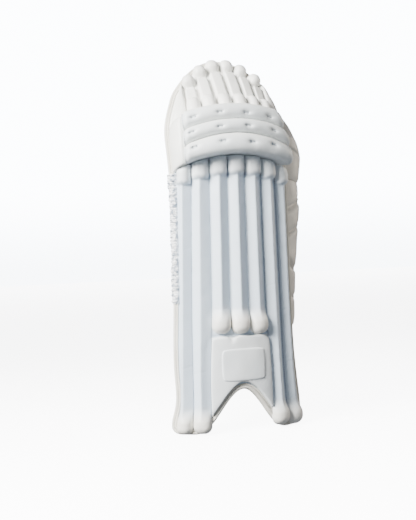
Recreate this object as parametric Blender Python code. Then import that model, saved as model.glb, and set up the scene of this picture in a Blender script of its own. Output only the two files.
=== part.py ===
"""Traditional cane-fronted batting pad for one leg.

A padded shell curves round the shin and leans back above the knee. Seven long canes stand
on its front, three tufted rolls cross the knee, six short canes fan up the top hat, an
instep panel fills the space over the arch, two wings close the outer side, and three plain
straps pass behind the leg. Metres, +Z up, the front faces -Y.
"""
import math

import bmesh
import bpy
from mathutils import Matrix, Vector

# Driving sizes of the shell
SHIN_RADIUS = 0.190
SHELL_WALL = 0.020
KNEE_BASE = 0.494
KNEE_LENGTH = 0.081
TOP_HAT_LENGTH = 0.134
BEND_RADIUS = 0.235
CANE_HALF_WIDTH = 0.115
SHELL_MARGIN = 0.004
ARCH_HEIGHT = 0.078
ARCH_HALF_WIDTH = 0.089
BINDING_THICKNESS = 0.004
CROWN_HALF_WIDTH = 0.110

# Driving sizes of the padding
CANE_RIDGE = 0.0120
CANE_LIP = 0.0018
BOBBLE_HEIGHT = 0.0170
BOBBLE_LENGTH = 0.036
BOBBLE_DROOP = 0.0145
BULB_HEIGHT = 0.0180
BULB_LENGTH = 0.045
# Height of the lower end of each shin cane, from the left
CANE_FEET = (0.002, 0.003, 0.178, 0.178, 0.178, 0.007, 0.003)
ROLL_DEPTH = 0.036
ROLL_BULGE = 0.010
TUFT_DEPTH = 0.0035
TOP_CANE_HEIGHT = 0.0125
TOP_CANE_HALF_WIDTH = 0.0760
TOP_CANE_MARGIN = 0.009
KNOB_LENGTH = 0.026
BULGE_LENGTH = 0.034
SIDE_PANEL_HEIGHT = 0.030
TOP_PANEL_HEIGHT = 0.009
INSTEP_TOP = 0.172
INSTEP_MARGIN = 0.009
INSTEP_HEIGHT = 0.008
PLATE_WIDTH = 0.076
PLATE_HEIGHT = 0.056
PLATE_CENTRE = 0.122
PLATE_THICKNESS = 0.0022

# Driving sizes of the side pieces
WING_WALL = 0.011
WING_ROOT_ANGLE = 27.0
CALF_WING_BASE = 0.180
CALF_WING_TOP = 0.446
KNEE_WING_TOP = 0.628
WING_REACH = 72.0
STRIP_LENGTH = 0.230
STRIP_DROP = 0.029
STRIP_HEIGHT = 0.0035
STRIP_WAVE = 0.0012
STRIP_PUCKERS = 17
STRIP_STEPS = 3
STRAP_WIDTH = 0.038
STRAP_THICKNESS = 0.0025
STRAP_TAB = 7.0

# Clearances
FIT_GAP = 0.0004
SEAT_GAP = 0.0006
TAPE_GAP = 0.0007

# Stance: the pad leans back a little over its two horns, which are pressed flat
LEAN_BACK = 1.5
FOOT_PRESS = 0.0012

KNEE_TOP = KNEE_BASE + KNEE_LENGTH
CROWN = KNEE_TOP + TOP_HAT_LENGTH

# Seams between the shin canes, as shares of the canes' half width.
# height: share of KNEE_BASE; one column for each of the eight seams
SEAM_ROWS = (
    # height, s0, s1, s2, s3, s4, s5, s6, s7
    (0.00, -1.08, -0.815, -0.515, -0.17, 0.13, 0.475, 0.79, 1.13),
    (0.04, -1.07, -0.81, -0.515, -0.17, 0.13, 0.475, 0.785, 1.12),
    (0.10, -1.01, -0.79, -0.52, -0.17, 0.13, 0.475, 0.77, 1.09),
    (0.21, -0.99, -0.78, -0.51, -0.17, 0.13, 0.470, 0.745, 1.03),
    (0.45, -0.95, -0.755, -0.45, -0.16, 0.14, 0.435, 0.73, 0.985),
    (1.00, -0.90, -0.665, -0.395, -0.117, 0.157, 0.435, 0.71, 0.98),
)

# How far the shell's edge stands out past the outer seams, as shares of SHELL_MARGIN
EDGE_ROWS = (
    # height as a share of CROWN, left, right
    (0.00, 1.4, 0.8),
    (0.06, 2.0, 1.4),
    (0.14, 2.4, 1.0),
    (0.21, 2.5, 0.5),
    (0.34, 2.2, 0.8),
    (0.60, 2.6, 1.0),
    (0.70, 4.0, 1.0),
    (0.75, 4.3, 1.0),
    (0.79, 3.2, 1.0),
    (0.865, -1.6, -1.4),
)
CORNER_LIFT = 0.007
CORNER_SHARE = 0.06
CORNER_POWER = 2
LEFT_DOME_POWER = 1.75
RIGHT_DOME_POWER = 2.30
SHOULDER = 0.865

# Steps of the surfaces
SHELL_COLUMNS = 26
SHELL_ROWS = 20
ROLL_STEPS = 20
WAIST_STEPS = 4
WING_STEPS = 10
LOOP_STEPS = 4
SMOOTH_ANGLE = 40.0

# Length profiles: share of the piece's end length, height share, roundness, width share
BOBBLE_ROWS = (
    (0.00, 0.84, 1.0, 0.93),
    (0.14, 0.93, 1.0, 0.97),
    (0.36, 0.98, 1.0, 1.00),
    (0.66, 1.00, 1.0, 1.00),
    (0.88, 0.92, 1.0, 1.00),
    (1.00, 0.64, 0.8, 0.97),
)
BULB_ROWS = (
    (0.72, 0.70, 0.55, 1.00),
    (0.48, 0.94, 1.00, 1.00),
    (0.26, 1.00, 1.00, 0.98),
    (0.10, 0.80, 1.00, 0.84),
    (0.00, 0.42, 1.00, 0.56),
)
KNOB_ROWS = (
    (0.00, 0.45, 1.0, 0.52),
    (0.12, 0.88, 1.0, 0.80),
    (0.42, 1.18, 1.0, 0.96),
    (0.78, 1.10, 1.0, 0.92),
    (1.00, 0.90, 1.0, 0.84),
)
BULGE_ROWS = (
    (1.00, 0.96, 1.0, 0.86),
    (0.66, 1.20, 1.0, 0.97),
    (0.30, 1.28, 1.0, 1.00),
    (0.00, 1.05, 1.0, 0.96),
)
WAIST_HEIGHT = 0.93
WAIST_WIDTH = 0.85
SECTION_STATIONS = (-1.0, -0.86, -0.5, 0.0, 0.5, 0.86, 1.0)
# Where the outermost canes' middles lie, as a share of CANE_HALF_WIDTH
OUTER_CANE = 0.765

# Knee rolls: lower and upper edge, their droop at the sides (shares of KNEE_LENGTH),
# then the right end's place at the lower and the upper edge (shares of CANE_HALF_WIDTH)
ROLL_ROWS = (
    ("knee_roll_3", 0.00, 0.395, 0.175, 0.19, 0.85, 0.82),
    ("knee_roll_2", 0.395, 0.672, 0.19, 0.15, 0.82, 0.735),
    ("knee_roll_1", 0.672, 0.985, 0.15, 0.085, 0.735, 0.66),
)
ROLL_LEFT = -0.715
# The droop is reached at this share of CANE_HALF_WIDTH and grows to at most so many times
DROOP_PLACE = 0.70
DROOP_LIMIT = 1.9
# The right end's last step, how much lower it stands and how much flatter it bulges
ROLL_END_STEP = 0.35
ROLL_END_DROP = 0.20
ROLL_END_FLAT = 0.30
# Section of a roll: share of its height, share of the bulge
ROLL_SECTION = (
    (0.00, -1.50),
    (0.015, 0.00),
    (0.13, 0.52),
    (0.32, 0.90),
    (0.52, 1.00),
    (0.72, 0.86),
    (0.89, 0.46),
    (0.985, -0.05),
    (1.00, -1.30),
)
# Tufts: their places and half width as shares of CANE_HALF_WIDTH, then the height of their
# middle and half height as shares of the roll's height
TUFT_COLUMNS = (-0.615, -0.29, 0.075, 0.43)
TUFT_HALF_WIDTH = 0.05
TUFT_MIDDLE = 0.55
TUFT_HALF_HEIGHT = 0.20

# Cushions: height of their borders as shares of their full height, and how square they are
SIDE_PANEL_START = 0.30
SIDE_PANEL_BORDER = 0.75
SIDE_PANEL_LEFT = 0.60
SIDE_PANEL_POWER = 5
TOP_PANEL_BORDER = 0.35
TOP_PANEL_POWER = 3
TOP_PANEL_LEAN = 0.86
INSTEP_BORDER = 0.40
INSTEP_POWER = 7
INSTEP_SPREAD = 0.51
INSTEP_FOOT = 0.070
PLATE_BORDER = 0.50
PLATE_POWER = 8
PLATE_CORNER = 0.10
WING_BORDER = 0.45
WING_POWER = 4

# Seams between the top canes: low end and high end, as shares of TOP_CANE_HALF_WIDTH
TOP_SEAM_ROWS = (
    (-1.01, -0.985),
    (-0.64, -0.665),
    (-0.28, -0.335),
    (0.08, 0.00),
    (0.44, 0.335),
    (0.76, 0.655),
    (1.07, 0.985),
)

# Wings: height share, reach share, stand-off from the shell's face (share of SHELL_WALL)
CALF_WING_ROWS = (
    (0.00, 0.66, -0.64),
    (0.08, 0.70, -0.62),
    (0.16, 0.71, -0.60),
    (0.37, 0.74, -0.54),
    (0.60, 0.83, -0.42),
    (0.81, 0.94, -0.22),
    (0.92, 0.95, -0.22),
    (1.00, 0.92, -0.26),
)
KNEE_WING_ROWS = (
    (0.00, 0.88, -0.30),
    (0.06, 0.95, -0.14),
    (0.30, 1.02, 0.06),
    (0.40, 1.01, 0.06),
    (0.50, 0.95, 0.04),
    (0.60, 0.82, 0.00),
    (0.72, 0.67, -0.05),
    (0.86, 0.57, -0.20),
    (1.00, 0.51, -0.30),
)

# Wings: least width, clearance past the shell's edge (degrees), where the flare is full
WING_LEAST = 8.0
WING_CLEAR = 2.0
WING_FLARE = 0.80

STRAP_ROWS = (
    # name, height, size of the loop, angle of the right end in degrees, what holds that end
    ("knee_strap", 0.468, 1.00, 64.0, "knee"),
    ("calf_strap", 0.330, 0.96, 54.0, "calf"),
    ("ankle_strap", 0.110, 0.80, 29.5, "shell"),
)
STRAP_LEFT_ANGLE = -23.0
# Heights over a strap's width where its clearance is measured, as shares of STRAP_WIDTH
STRAP_SAMPLES = (-0.52, -0.26, 0.0, 0.26, 0.52)
# Plan of a strap's loop: x and y as shares of SHIN_RADIUS
LOOP_POINTS = (
    (-0.475, -0.62),
    (-0.450, -0.42),
    (-0.340, -0.17),
    (-0.110, -0.02),
    (0.160, 0.00),
)

WHITE_LEATHER = ("white_pu_leather", (0.86, 0.87, 0.88), 0.42)
COOL_LEATHER = ("cool_white_pu_leather", (0.80, 0.84, 0.88), 0.42)
CREAM_BINDING = ("cream_binding_tape", (0.84, 0.82, 0.76), 0.60)
LINING = ("cotton_lining", (0.80, 0.80, 0.78), 0.85)
MESH_FABRIC = ("white_mesh_fabric", (0.88, 0.88, 0.88), 0.90)
WEBBING = ("white_webbing", (0.78, 0.78, 0.77), 0.80)


def clear_scene():
    for old in list(bpy.data.objects):
        bpy.data.objects.remove(old)


def material(finish):
    """The finish's material, made once and shared."""
    name, colour, roughness = finish
    found = bpy.data.materials.get(name)
    if found:
        return found
    made = bpy.data.materials.new(name)
    made.use_nodes = True
    shader = made.node_tree.nodes["Principled BSDF"]
    shader.inputs["Base Color"].default_value = (*colour, 1.0)
    shader.inputs["Roughness"].default_value = roughness
    return made


def spine(s):
    """Front line of the shell: y, z and lean at a distance s up its surface."""
    lean = max(0.0, (s - KNEE_BASE) / BEND_RADIUS)
    if lean == 0.0:
        return -SHIN_RADIUS, s, 0.0
    y = -SHIN_RADIUS + BEND_RADIUS * (1.0 - math.cos(lean))
    return y, KNEE_BASE + BEND_RADIUS * math.sin(lean), lean


def surface(u, s, h=0.0):
    """Point u round the shell from its middle, s up it, and h out from its front face."""
    y, z, lean = spine(s)
    inward = Vector((0.0, math.cos(lean), -math.sin(lean)))
    angle = u / SHIN_RADIUS
    centre = Vector((0.0, y, z)) + inward * SHIN_RADIUS
    outward = Vector((math.sin(angle), 0.0, 0.0)) - inward * math.cos(angle)
    return centre + outward * (SHIN_RADIUS + h)


def lerp(a, b, share):
    return a + (b - a) * share


def read_rows(rows, key, column):
    """Value of a column at key, read between the table's rows."""
    if key <= rows[0][0]:
        return rows[0][column]
    for low, high in zip(rows, rows[1:]):
        if key <= high[0]:
            return lerp(low[column], high[column], (key - low[0]) / (high[0] - low[0]))
    return rows[-1][column]


def seam(index, s):
    """Where a shin seam lies round the shell at height s."""
    return read_rows(SEAM_ROWS, s / KNEE_BASE, index + 1) * CANE_HALF_WIDTH


def shell_left(s):
    return seam(0, s) - read_rows(EDGE_ROWS, s / CROWN, 1) * SHELL_MARGIN


def shell_right(s):
    return seam(7, s) + read_rows(EDGE_ROWS, s / CROWN, 2) * SHELL_MARGIN


def arch(u):
    """Lower edge of the shell: two flat horns and a raised cosine between them."""
    swing = min(1.0, abs(u) / ARCH_HALF_WIDTH)
    return BINDING_THICKNESS + ARCH_HEIGHT * 0.5 * (1.0 + math.cos(math.pi * swing))


def dome(u):
    """Upper edge of the shell."""
    drop = CROWN - SHOULDER * CROWN
    power = LEFT_DOME_POWER if u < 0.0 else RIGHT_DOME_POWER
    return CROWN - drop * (abs(u) / CROWN_HALF_WIDTH) ** power


def shell_place(f, g):
    """Blends the four edges of the shell: f from left to right, g from horns to crown."""
    corner_s = BINDING_THICKNESS + CORNER_LIFT
    shoulder_s = SHOULDER * CROWN
    foot_u = lerp(shell_left(corner_s), shell_right(corner_s), f)
    lift = max(0.0, 1.0 - min(f, 1.0 - f) / CORNER_SHARE) ** CORNER_POWER
    crown_u = lerp(shell_left(shoulder_s), shell_right(shoulder_s), f)
    side_s = lerp(corner_s, shoulder_s, g)
    u = lerp(shell_left(side_s), shell_right(side_s), f)
    return u, lerp(arch(foot_u) + CORNER_LIFT * lift, dome(crown_u), g)


def finish_object(name, bm, finish):
    """Turns a finished bmesh into a named object with its own material."""
    bmesh.ops.recalc_face_normals(bm, faces=bm.faces)
    mesh = bpy.data.meshes.new(name)
    bm.to_mesh(mesh)
    bm.free()
    mesh.materials.append(material(finish))
    mesh.shade_smooth()
    mesh.set_sharp_from_angle(angle=math.radians(SMOOTH_ANGLE))
    piece = bpy.data.objects.new(name, mesh)
    bpy.context.scene.collection.objects.link(piece)
    return piece


def loft(name, rings, finish, closed=False):
    """Skins a row of equal rings; the ends are capped unless the rings close on themselves."""
    bm = bmesh.new()
    loops = [[bm.verts.new(point) for point in ring] for ring in rings]
    pairs = list(zip(loops, loops[1:]))
    if closed:
        pairs.append((loops[-1], loops[0]))
    for low, high in pairs:
        for i in range(len(low)):
            j = (i + 1) % len(low)
            bm.faces.new((low[i], low[j], high[j], high[i]))
    if not closed:
        bm.faces.new(loops[0])
        bm.faces.new(loops[-1])
    return finish_object(name, bm, finish)


def slab(name, place, finish, columns, rows):
    """A closed sheet with two faces; place(f, g, front) gives each point."""
    bm = bmesh.new()
    faces = []
    for front in (True, False):
        grid = [[bm.verts.new(place(c / columns, r / rows, front)) for c in range(columns + 1)]
                for r in range(rows + 1)]
        faces.append(grid)
        for low, high in zip(grid, grid[1:]):
            for c in range(columns):
                bm.faces.new((low[c], low[c + 1], high[c + 1], high[c]))
    outer, inner = (rim(grid) for grid in faces)
    for i in range(len(outer)):
        j = (i + 1) % len(outer)
        bm.faces.new((outer[i], outer[j], inner[j], inner[i]))
    return finish_object(name, bm, finish)


def rim(grid):
    """The grid's border, once round."""
    right = [row[-1] for row in grid[1:]]
    top = list(reversed(grid[-1][:-1]))
    left = [row[0] for row in reversed(grid[1:-1])]
    return grid[0] + right + top + left


def backing():
    def place(f, g, front):
        u, s = shell_place(f, g)
        return surface(u, s, 0.0 if front else -SHELL_WALL)

    return slab("backing", place, LINING, SHELL_COLUMNS, SHELL_ROWS)


def outline():
    """The shell's edge, once round from the left horn, as (u, s) pairs."""
    across = [c / SHELL_COLUMNS for c in range(SHELL_COLUMNS)]
    along = [r / SHELL_ROWS for r in range(SHELL_ROWS)]
    foot = [shell_place(f, 0.0) for f in across]
    right = [shell_place(1.0, g) for g in along]
    top = [shell_place(1.0 - f, 1.0) for f in across]
    left = [shell_place(0.0, 1.0 - g) for g in along]
    return foot + right + top + left


def mitre(before, here, after):
    """Outward direction at a corner of the outline, long enough to keep an even offset."""
    first = (Vector(here) - Vector(before)).normalized()
    second = (Vector(after) - Vector(here)).normalized()
    normal = Vector((first.y + second.y, -first.x - second.x)).normalized()
    return normal / max(0.5, normal.dot(Vector((first.y, -first.x))))


def edge_binding():
    points = outline()
    outer = BINDING_THICKNESS
    section = (
        (TAPE_GAP, 0.0),
        (0.6 * outer, 0.0),
        (outer, -0.10 * SHELL_WALL),
        (outer, -0.90 * SHELL_WALL),
        (0.6 * outer, -SHELL_WALL),
        (TAPE_GAP, -SHELL_WALL),
    )
    rings = []
    for i, here in enumerate(points):
        away = mitre(points[i - 1], here, points[(i + 1) % len(points)])
        rings.append([surface(here[0] + away.x * out, here[1] + away.y * out, h) for out, h in section])
    return loft("edge_binding", rings, CREAM_BINDING, closed=True)


def cane_ring(left, right, s, height, roundness, width):
    """Ring across a cane: a roof when roundness is 0, a dome when it is 1."""
    middle = (left + right) / 2.0
    half = ((right - left) / 2.0 - FIT_GAP) * width
    ring = []
    for x in SECTION_STATIONS:
        roof = 1.0 - abs(x)
        dome_share = math.sqrt(max(0.0, 1.0 - x * x))
        rise = lerp(roof, dome_share, roundness)
        ring.append(surface(middle + x * half, s, CANE_LIP + (height - CANE_LIP) * rise))
    for x in (1.0, 0.0, -1.0):
        ring.append(surface(middle + x * half, s, SEAT_GAP))
    return ring


def roll_edge(row, u, upper):
    """Height of a roll's lower or upper edge at u; it droops towards the sides."""
    share, droop = (row[2], row[4]) if upper else (row[1], row[3])
    sag = droop * KNEE_LENGTH * min(DROOP_LIMIT, (u / (DROOP_PLACE * CANE_HALF_WIDTH)) ** 2)
    return KNEE_BASE + share * KNEE_LENGTH - sag


def cane_top(number):
    """A shin cane ends just under the lowest knee roll, which droops at the sides."""
    edges = [roll_edge(ROLL_ROWS[0], seam(i, KNEE_BASE), False) for i in (number - 1, number)]
    return min(edges) - SEAT_GAP


def shin_cane(number):
    foot = CANE_FEET[number - 1]
    middle_u = (seam(number - 1, KNEE_BASE) + seam(number, KNEE_BASE)) / 2.0
    top = cane_top(number)
    droop = BOBBLE_DROOP * (middle_u / (OUTER_CANE * CANE_HALF_WIDTH)) ** 2
    bobble_foot = KNEE_BASE - BOBBLE_LENGTH - droop
    rows = [(lerp(top, bobble_foot, share), height * BOBBLE_HEIGHT, roundness, width)
            for share, height, roundness, width in BOBBLE_ROWS]
    shaft_top = bobble_foot - 0.1 * BOBBLE_LENGTH
    shaft_foot = foot + BULB_LENGTH
    bends = [row[0] * KNEE_BASE for row in reversed(SEAM_ROWS)]
    shaft = [shaft_top] + [s for s in bends if shaft_foot < s < shaft_top] + [shaft_foot]
    rows += [(s, CANE_RIDGE, 0.0, 1.0) for s in shaft]
    for share, height, roundness, width in BULB_ROWS:
        rows.append((foot + share * BULB_LENGTH, height * BULB_HEIGHT, roundness, width))
    rings = [cane_ring(seam(number - 1, s), seam(number, s), s, height, roundness, width)
             for s, height, roundness, width in rows]
    return loft(f"shin_cane_{number}", rings, COOL_LEATHER)


def tuft(u, share):
    """Depth of the stitched dimple at u, at a share of the roll's height."""
    near = 0.0
    for column in TUFT_COLUMNS:
        distance = (u / CANE_HALF_WIDTH - column) / TUFT_HALF_WIDTH
        near = max(near, math.exp(-distance * distance))
    across = math.exp(-((share - TUFT_MIDDLE) / TUFT_HALF_HEIGHT) ** 2)
    return TUFT_DEPTH * near * across


def roll_stations():
    """Stations along a roll as shares of its length, closer together at the right end."""
    return [i / ROLL_STEPS for i in range(ROLL_STEPS)] + [1.0 - ROLL_END_STEP / ROLL_STEPS, 1.0]


def knee_roll(row):
    left = ROLL_LEFT * CANE_HALF_WIDTH
    section = ROLL_SECTION + ((1.0, None), (0.0, None))
    rings = []
    for station in roll_stations():
        near_end = max(0.0, (station - 1.0) * ROLL_STEPS / 2.0 + 1.0)
        ring = []
        for share, bulge in section:
            right = lerp(row[5], row[6], share) * CANE_HALF_WIDTH
            u = lerp(left, right, station)
            low = roll_edge(row, u, False) + FIT_GAP
            high = roll_edge(row, u, True) - FIT_GAP
            s = lerp(low, high, share)
            if bulge is None:
                ring.append(surface(u, s, 2.0 * SEAT_GAP))
                continue
            depth = ROLL_DEPTH * (1.0 - ROLL_END_DROP * near_end ** 2)
            swell = bulge * ROLL_BULGE * (1.0 - ROLL_END_FLAT * near_end)
            ring.append(surface(u, s, depth + swell - tuft(u, share)))
        rings.append(ring)
    return loft(row[0], rings, WHITE_LEATHER)


def pillow(f, g, power, border):
    """A cushion's height as a share: border on its edge, 1 over most of the middle."""
    swell = (1.0 - abs(2.0 * f - 1.0) ** power) * (1.0 - abs(2.0 * g - 1.0) ** power)
    return lerp(border, 1.0, swell)


def knee_side_panel():
    inner = ROLL_LEFT * CANE_HALF_WIDTH - FIT_GAP

    def place(f, g, front):
        low_u = lerp(shell_left(KNEE_BASE) + FIT_GAP, inner, f)
        low = roll_edge(ROLL_ROWS[0], low_u, False) + FIT_GAP
        high = roll_edge(ROLL_ROWS[2], low_u, True) - FIT_GAP
        s = lerp(low, high, g)
        u = lerp(shell_left(s) + FIT_GAP, inner, f)
        if not front:
            return surface(u, s, 2.0 * SEAT_GAP)
        slope = lerp(SIDE_PANEL_START, 1.0, math.sin(f * math.pi / 2.0))
        border = lerp(1.0, SIDE_PANEL_BORDER, abs(2.0 * g - 1.0) ** SIDE_PANEL_POWER)
        left_edge = lerp(1.0, SIDE_PANEL_LEFT, (1.0 - f) ** SIDE_PANEL_POWER)
        return surface(u, s, SIDE_PANEL_HEIGHT * slope * border * left_edge)

    return slab("knee_side_panel", place, WHITE_LEATHER, columns=6, rows=9)


def top_seam(index, share):
    low, high = TOP_SEAM_ROWS[index]
    return lerp(low, high, share) * TOP_CANE_HALF_WIDTH


def top_floor(u):
    """Where the top hat's pieces start, just over the highest knee roll."""
    return roll_edge(ROLL_ROWS[2], u, True) + SEAT_GAP


def top_cane(number):
    low_u = (top_seam(number - 1, 0.0) + top_seam(number, 0.0)) / 2.0
    high_u = (top_seam(number - 1, 1.0) + top_seam(number, 1.0)) / 2.0
    foot = max(top_floor(top_seam(number - 1, 0.0)), top_floor(low_u), top_floor(top_seam(number, 0.0)))
    head = dome(high_u) - TOP_CANE_MARGIN
    rows = [(head - share * KNOB_LENGTH, height, roundness, width)
            for share, height, roundness, width in KNOB_ROWS]
    waist_top, waist_foot = head - KNOB_LENGTH, foot + BULGE_LENGTH
    rows += [(lerp(waist_top, waist_foot, i / WAIST_STEPS), WAIST_HEIGHT, 1.0, WAIST_WIDTH)
             for i in range(1, WAIST_STEPS)]
    rows += [(foot + share * BULGE_LENGTH, height, roundness, width)
             for share, height, roundness, width in BULGE_ROWS]
    rings = []
    for s, height, roundness, width in rows:
        share = (s - foot) / (head - foot)
        rings.append(cane_ring(top_seam(number - 1, share), top_seam(number, share), s,
                               height * TOP_CANE_HEIGHT, roundness, width))
    return loft(f"top_cane_{number}", rings, WHITE_LEATHER)


def top_side_panel(name, side):
    """The plain cushion beside the fan of top canes; side is -1 on the left, 1 on the right."""
    index = 0 if side < 0 else len(TOP_SEAM_ROWS) - 1

    def place(f, g, front):
        def edge_u(s):
            shell_edge = shell_left(s) if side < 0 else shell_right(s)
            return shell_edge - side * FIT_GAP

        start = top_floor(lerp(top_seam(index, 0.0), edge_u(KNEE_TOP), f))
        low_u = lerp(top_seam(index, 0.0) + side * FIT_GAP, edge_u(start), f)
        high_u = lerp(top_seam(index, 1.0) + side * FIT_GAP, TOP_PANEL_LEAN * edge_u(SHOULDER * CROWN), f)
        end = dome(high_u) - TOP_CANE_MARGIN
        u = lerp(low_u, high_u, g)
        s = lerp(start, end, g)
        if not front:
            return surface(u, s, SEAT_GAP)
        rise = TOP_PANEL_HEIGHT * pillow(f, g, TOP_PANEL_POWER, TOP_PANEL_BORDER)
        return surface(u, s, SEAT_GAP + rise)

    return slab(name, place, WHITE_LEATHER, columns=5, rows=8)


def panel_place(f, g):
    """Blends the instep panel's borders between the inner horn seams."""
    foot_left, foot_right = seam(2, INSTEP_FOOT), seam(5, INSTEP_FOOT)
    left = seam(2, lerp(arch(foot_left) + INSTEP_MARGIN, INSTEP_TOP, g)) + FIT_GAP
    right = seam(5, lerp(arch(foot_right) + INSTEP_MARGIN, INSTEP_TOP, g)) - FIT_GAP
    low = arch(lerp(foot_left, foot_right, f)) + INSTEP_MARGIN
    return lerp(left, right, f), lerp(low, INSTEP_TOP, g)


def panel_rise(u, s):
    """Front of the instep panel over the shell at a place on it."""
    across = min(1.0, abs(u) / (INSTEP_SPREAD * CANE_HALF_WIDTH))
    low = arch(u) + INSTEP_MARGIN
    up = min(1.0, max(0.0, (s - low) / (INSTEP_TOP - low)))
    swell = (1.0 - across ** INSTEP_POWER) * (1.0 - abs(2.0 * up - 1.0) ** INSTEP_POWER)
    return SEAT_GAP + INSTEP_HEIGHT * lerp(INSTEP_BORDER, 1.0, swell)


def instep_panel():
    def place(f, g, front):
        u, s = panel_place(f, g)
        return surface(u, s, panel_rise(u, s) if front else SEAT_GAP)

    return slab("instep_panel", place, WHITE_LEATHER, columns=14, rows=8)


def badge_plate():
    def place(f, g, front):
        x, y = 2.0 * f - 1.0, 2.0 * g - 1.0
        corner = 1.0 - PLATE_CORNER * (abs(x) * abs(y)) ** PLATE_POWER
        u = 0.5 * PLATE_WIDTH * x * corner
        s = PLATE_CENTRE + 0.5 * PLATE_HEIGHT * y * corner
        rise = PLATE_THICKNESS * pillow(f, g, PLATE_POWER, PLATE_BORDER)
        return surface(u, s, panel_rise(u, s) + SEAT_GAP + (rise if front else 0.0))

    return slab("badge_plate", place, WHITE_LEATHER, columns=10, rows=6)


def wing_rows(kind):
    if kind == "calf":
        return CALF_WING_ROWS, CALF_WING_BASE, CALF_WING_TOP
    return KNEE_WING_ROWS, CALF_WING_TOP + 4.0 * SEAT_GAP, KNEE_WING_TOP


def wing_point(kind, f, g, front):
    """A wing runs from behind the shell's right edge out round the leg."""
    rows, base, top = wing_rows(kind)
    s = lerp(base, top, g)
    end = max(WING_ROOT_ANGLE + WING_LEAST, read_rows(rows, g, 1) * WING_REACH)
    angle = lerp(WING_ROOT_ANGLE, end, f)
    rim_angle = math.degrees((shell_right(s) + BINDING_THICKNESS) / SHIN_RADIUS) + WING_CLEAR
    tucked = -SHELL_WALL - SEAT_GAP
    free = read_rows(rows, g, 2) * SHELL_WALL
    span = max(1.0, min(WING_FLARE * WING_REACH, end) - rim_angle)
    share = min(1.0, max(0.0, (angle - rim_angle) / span))
    h = lerp(tucked, free, share * share * (3.0 - 2.0 * share))
    wall = WING_WALL * pillow(f, g, WING_POWER, WING_BORDER)
    return surface(math.radians(angle) * SHIN_RADIUS, s, h if front else h - wall)


def wing(name, kind):
    def place(f, g, front):
        return wing_point(kind, f, g, front)

    return slab(name, place, WHITE_LEATHER, WING_STEPS, WING_STEPS)


def ruffled_strip():
    """A puckered strip of mesh fabric between the first cane and the left edge."""
    steps = STRIP_PUCKERS * STRIP_STEPS
    strip_top = KNEE_BASE - STRIP_DROP
    rings = []
    for i in range(steps + 1):
        s = strip_top - STRIP_LENGTH * (1.0 - i / steps)
        right = seam(0, s) - FIT_GAP
        left = shell_left(s) + FIT_GAP
        top = STRIP_HEIGHT + STRIP_WAVE * math.sin(2.0 * math.pi * i / STRIP_STEPS)
        rings.append([surface(left, s, 0.6 * top), surface((left + right) / 2.0, s, top),
                      surface(right, s, 0.6 * top), surface(right, s, SEAT_GAP), surface(left, s, SEAT_GAP)])
    return loft("ruffled_strip", rings, MESH_FABRIC)


def smooth_line(points, steps):
    """A smooth line through plan points, with steps stations between neighbours."""
    padded = [points[0] * 2.0 - points[1]] + points + [points[-1] * 2.0 - points[-2]]
    line = []
    for a, b, c, d in zip(padded, padded[1:], padded[2:], padded[3:]):
        for i in range(steps):
            t = i / steps
            line.append(0.5 * (2.0 * b + (c - a) * t + (2.0 * a - 5.0 * b + 4.0 * c - d) * t * t
                               + (3.0 * b - a - 3.0 * c + d) * t ** 3))
    line.append(points[-1])
    return line


def plan_point(angle, radius):
    turn = math.radians(angle)
    return Vector((radius * math.sin(turn), -radius * math.cos(turn)))


def strap_seat():
    """How far a strap's middle lies inside the face that it is sewn to."""
    return SEAT_GAP + STRAP_THICKNESS / 2.0


def strap_tab(start, turn, radius):
    """Three plan points where a strap lies flat on a face, from its end to where it leaves."""
    return [plan_point(start + turn * STRAP_TAB * i / 2.0, radius(start + turn * STRAP_TAB * i / 2.0))
            for i in range(3)]


def wing_facet(kind, f, g):
    """Point on the flat facets of a wing's inner face."""
    column = min(WING_STEPS - 1, int(max(0.0, f) * WING_STEPS))
    row = min(WING_STEPS - 1, int(max(0.0, g) * WING_STEPS))
    corners = [[wing_point(kind, (column + i) / WING_STEPS, (row + j) / WING_STEPS, False) for i in (0, 1)]
               for j in (0, 1)]
    across = f * WING_STEPS - column
    low, high = (left.lerp(right, across) for left, right in corners)
    return low.lerp(high, g * WING_STEPS - row)


def wing_inner_radius(kind, height, angle):
    """Smallest radius of a wing's inner face over a strap's width."""
    rows, base, top = wing_rows(kind)
    radii = []
    for sample in STRAP_SAMPLES:
        share = (height + sample * STRAP_WIDTH - base) / (top - base)
        end = read_rows(rows, share, 1) * WING_REACH
        face = wing_facet(kind, (angle - WING_ROOT_ANGLE) / (end - WING_ROOT_ANGLE), share)
        radii.append(math.hypot(face.x, face.y))
    return min(radii)


def strap(name, height, loop, right_angle, holder):
    """A plain band from the lining on the left, behind the leg, to the inner face on the right."""
    def left_radius(angle):
        return SHIN_RADIUS - SHELL_WALL - strap_seat()

    def right_radius(angle):
        if holder == "shell":
            return left_radius(angle)
        return wing_inner_radius(holder, height, angle) - strap_seat()

    left = strap_tab(STRAP_LEFT_ANGLE, -1.0, left_radius)
    right = strap_tab(right_angle - STRAP_TAB, 1.0, right_radius)
    points = [Vector((x, y)) * loop * SHIN_RADIUS for x, y in LOOP_POINTS]
    if holder == "shell":
        points += [Vector((-x, y)) * loop * SHIN_RADIUS for x, y in reversed(LOOP_POINTS[:2])]
    free = smooth_line([left[-1]] + points + [right[-1]], LOOP_STEPS)
    line = left[:-1] + free + list(reversed(right[:-1]))
    rings = []
    for i, here in enumerate(line):
        along = (line[min(i + 1, len(line) - 1)] - line[max(i - 1, 0)]).normalized()
        across = Vector((along.y, -along.x)) * STRAP_THICKNESS / 2.0
        ring = []
        for side, lift in ((-1, -1), (1, -1), (1, 1), (-1, 1)):
            flat = here + across * side
            ring.append(Vector((flat.x, flat.y, height + lift * STRAP_WIDTH / 2.0)))
        rings.append(ring)
    return loft(name, rings, WEBBING)


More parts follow.
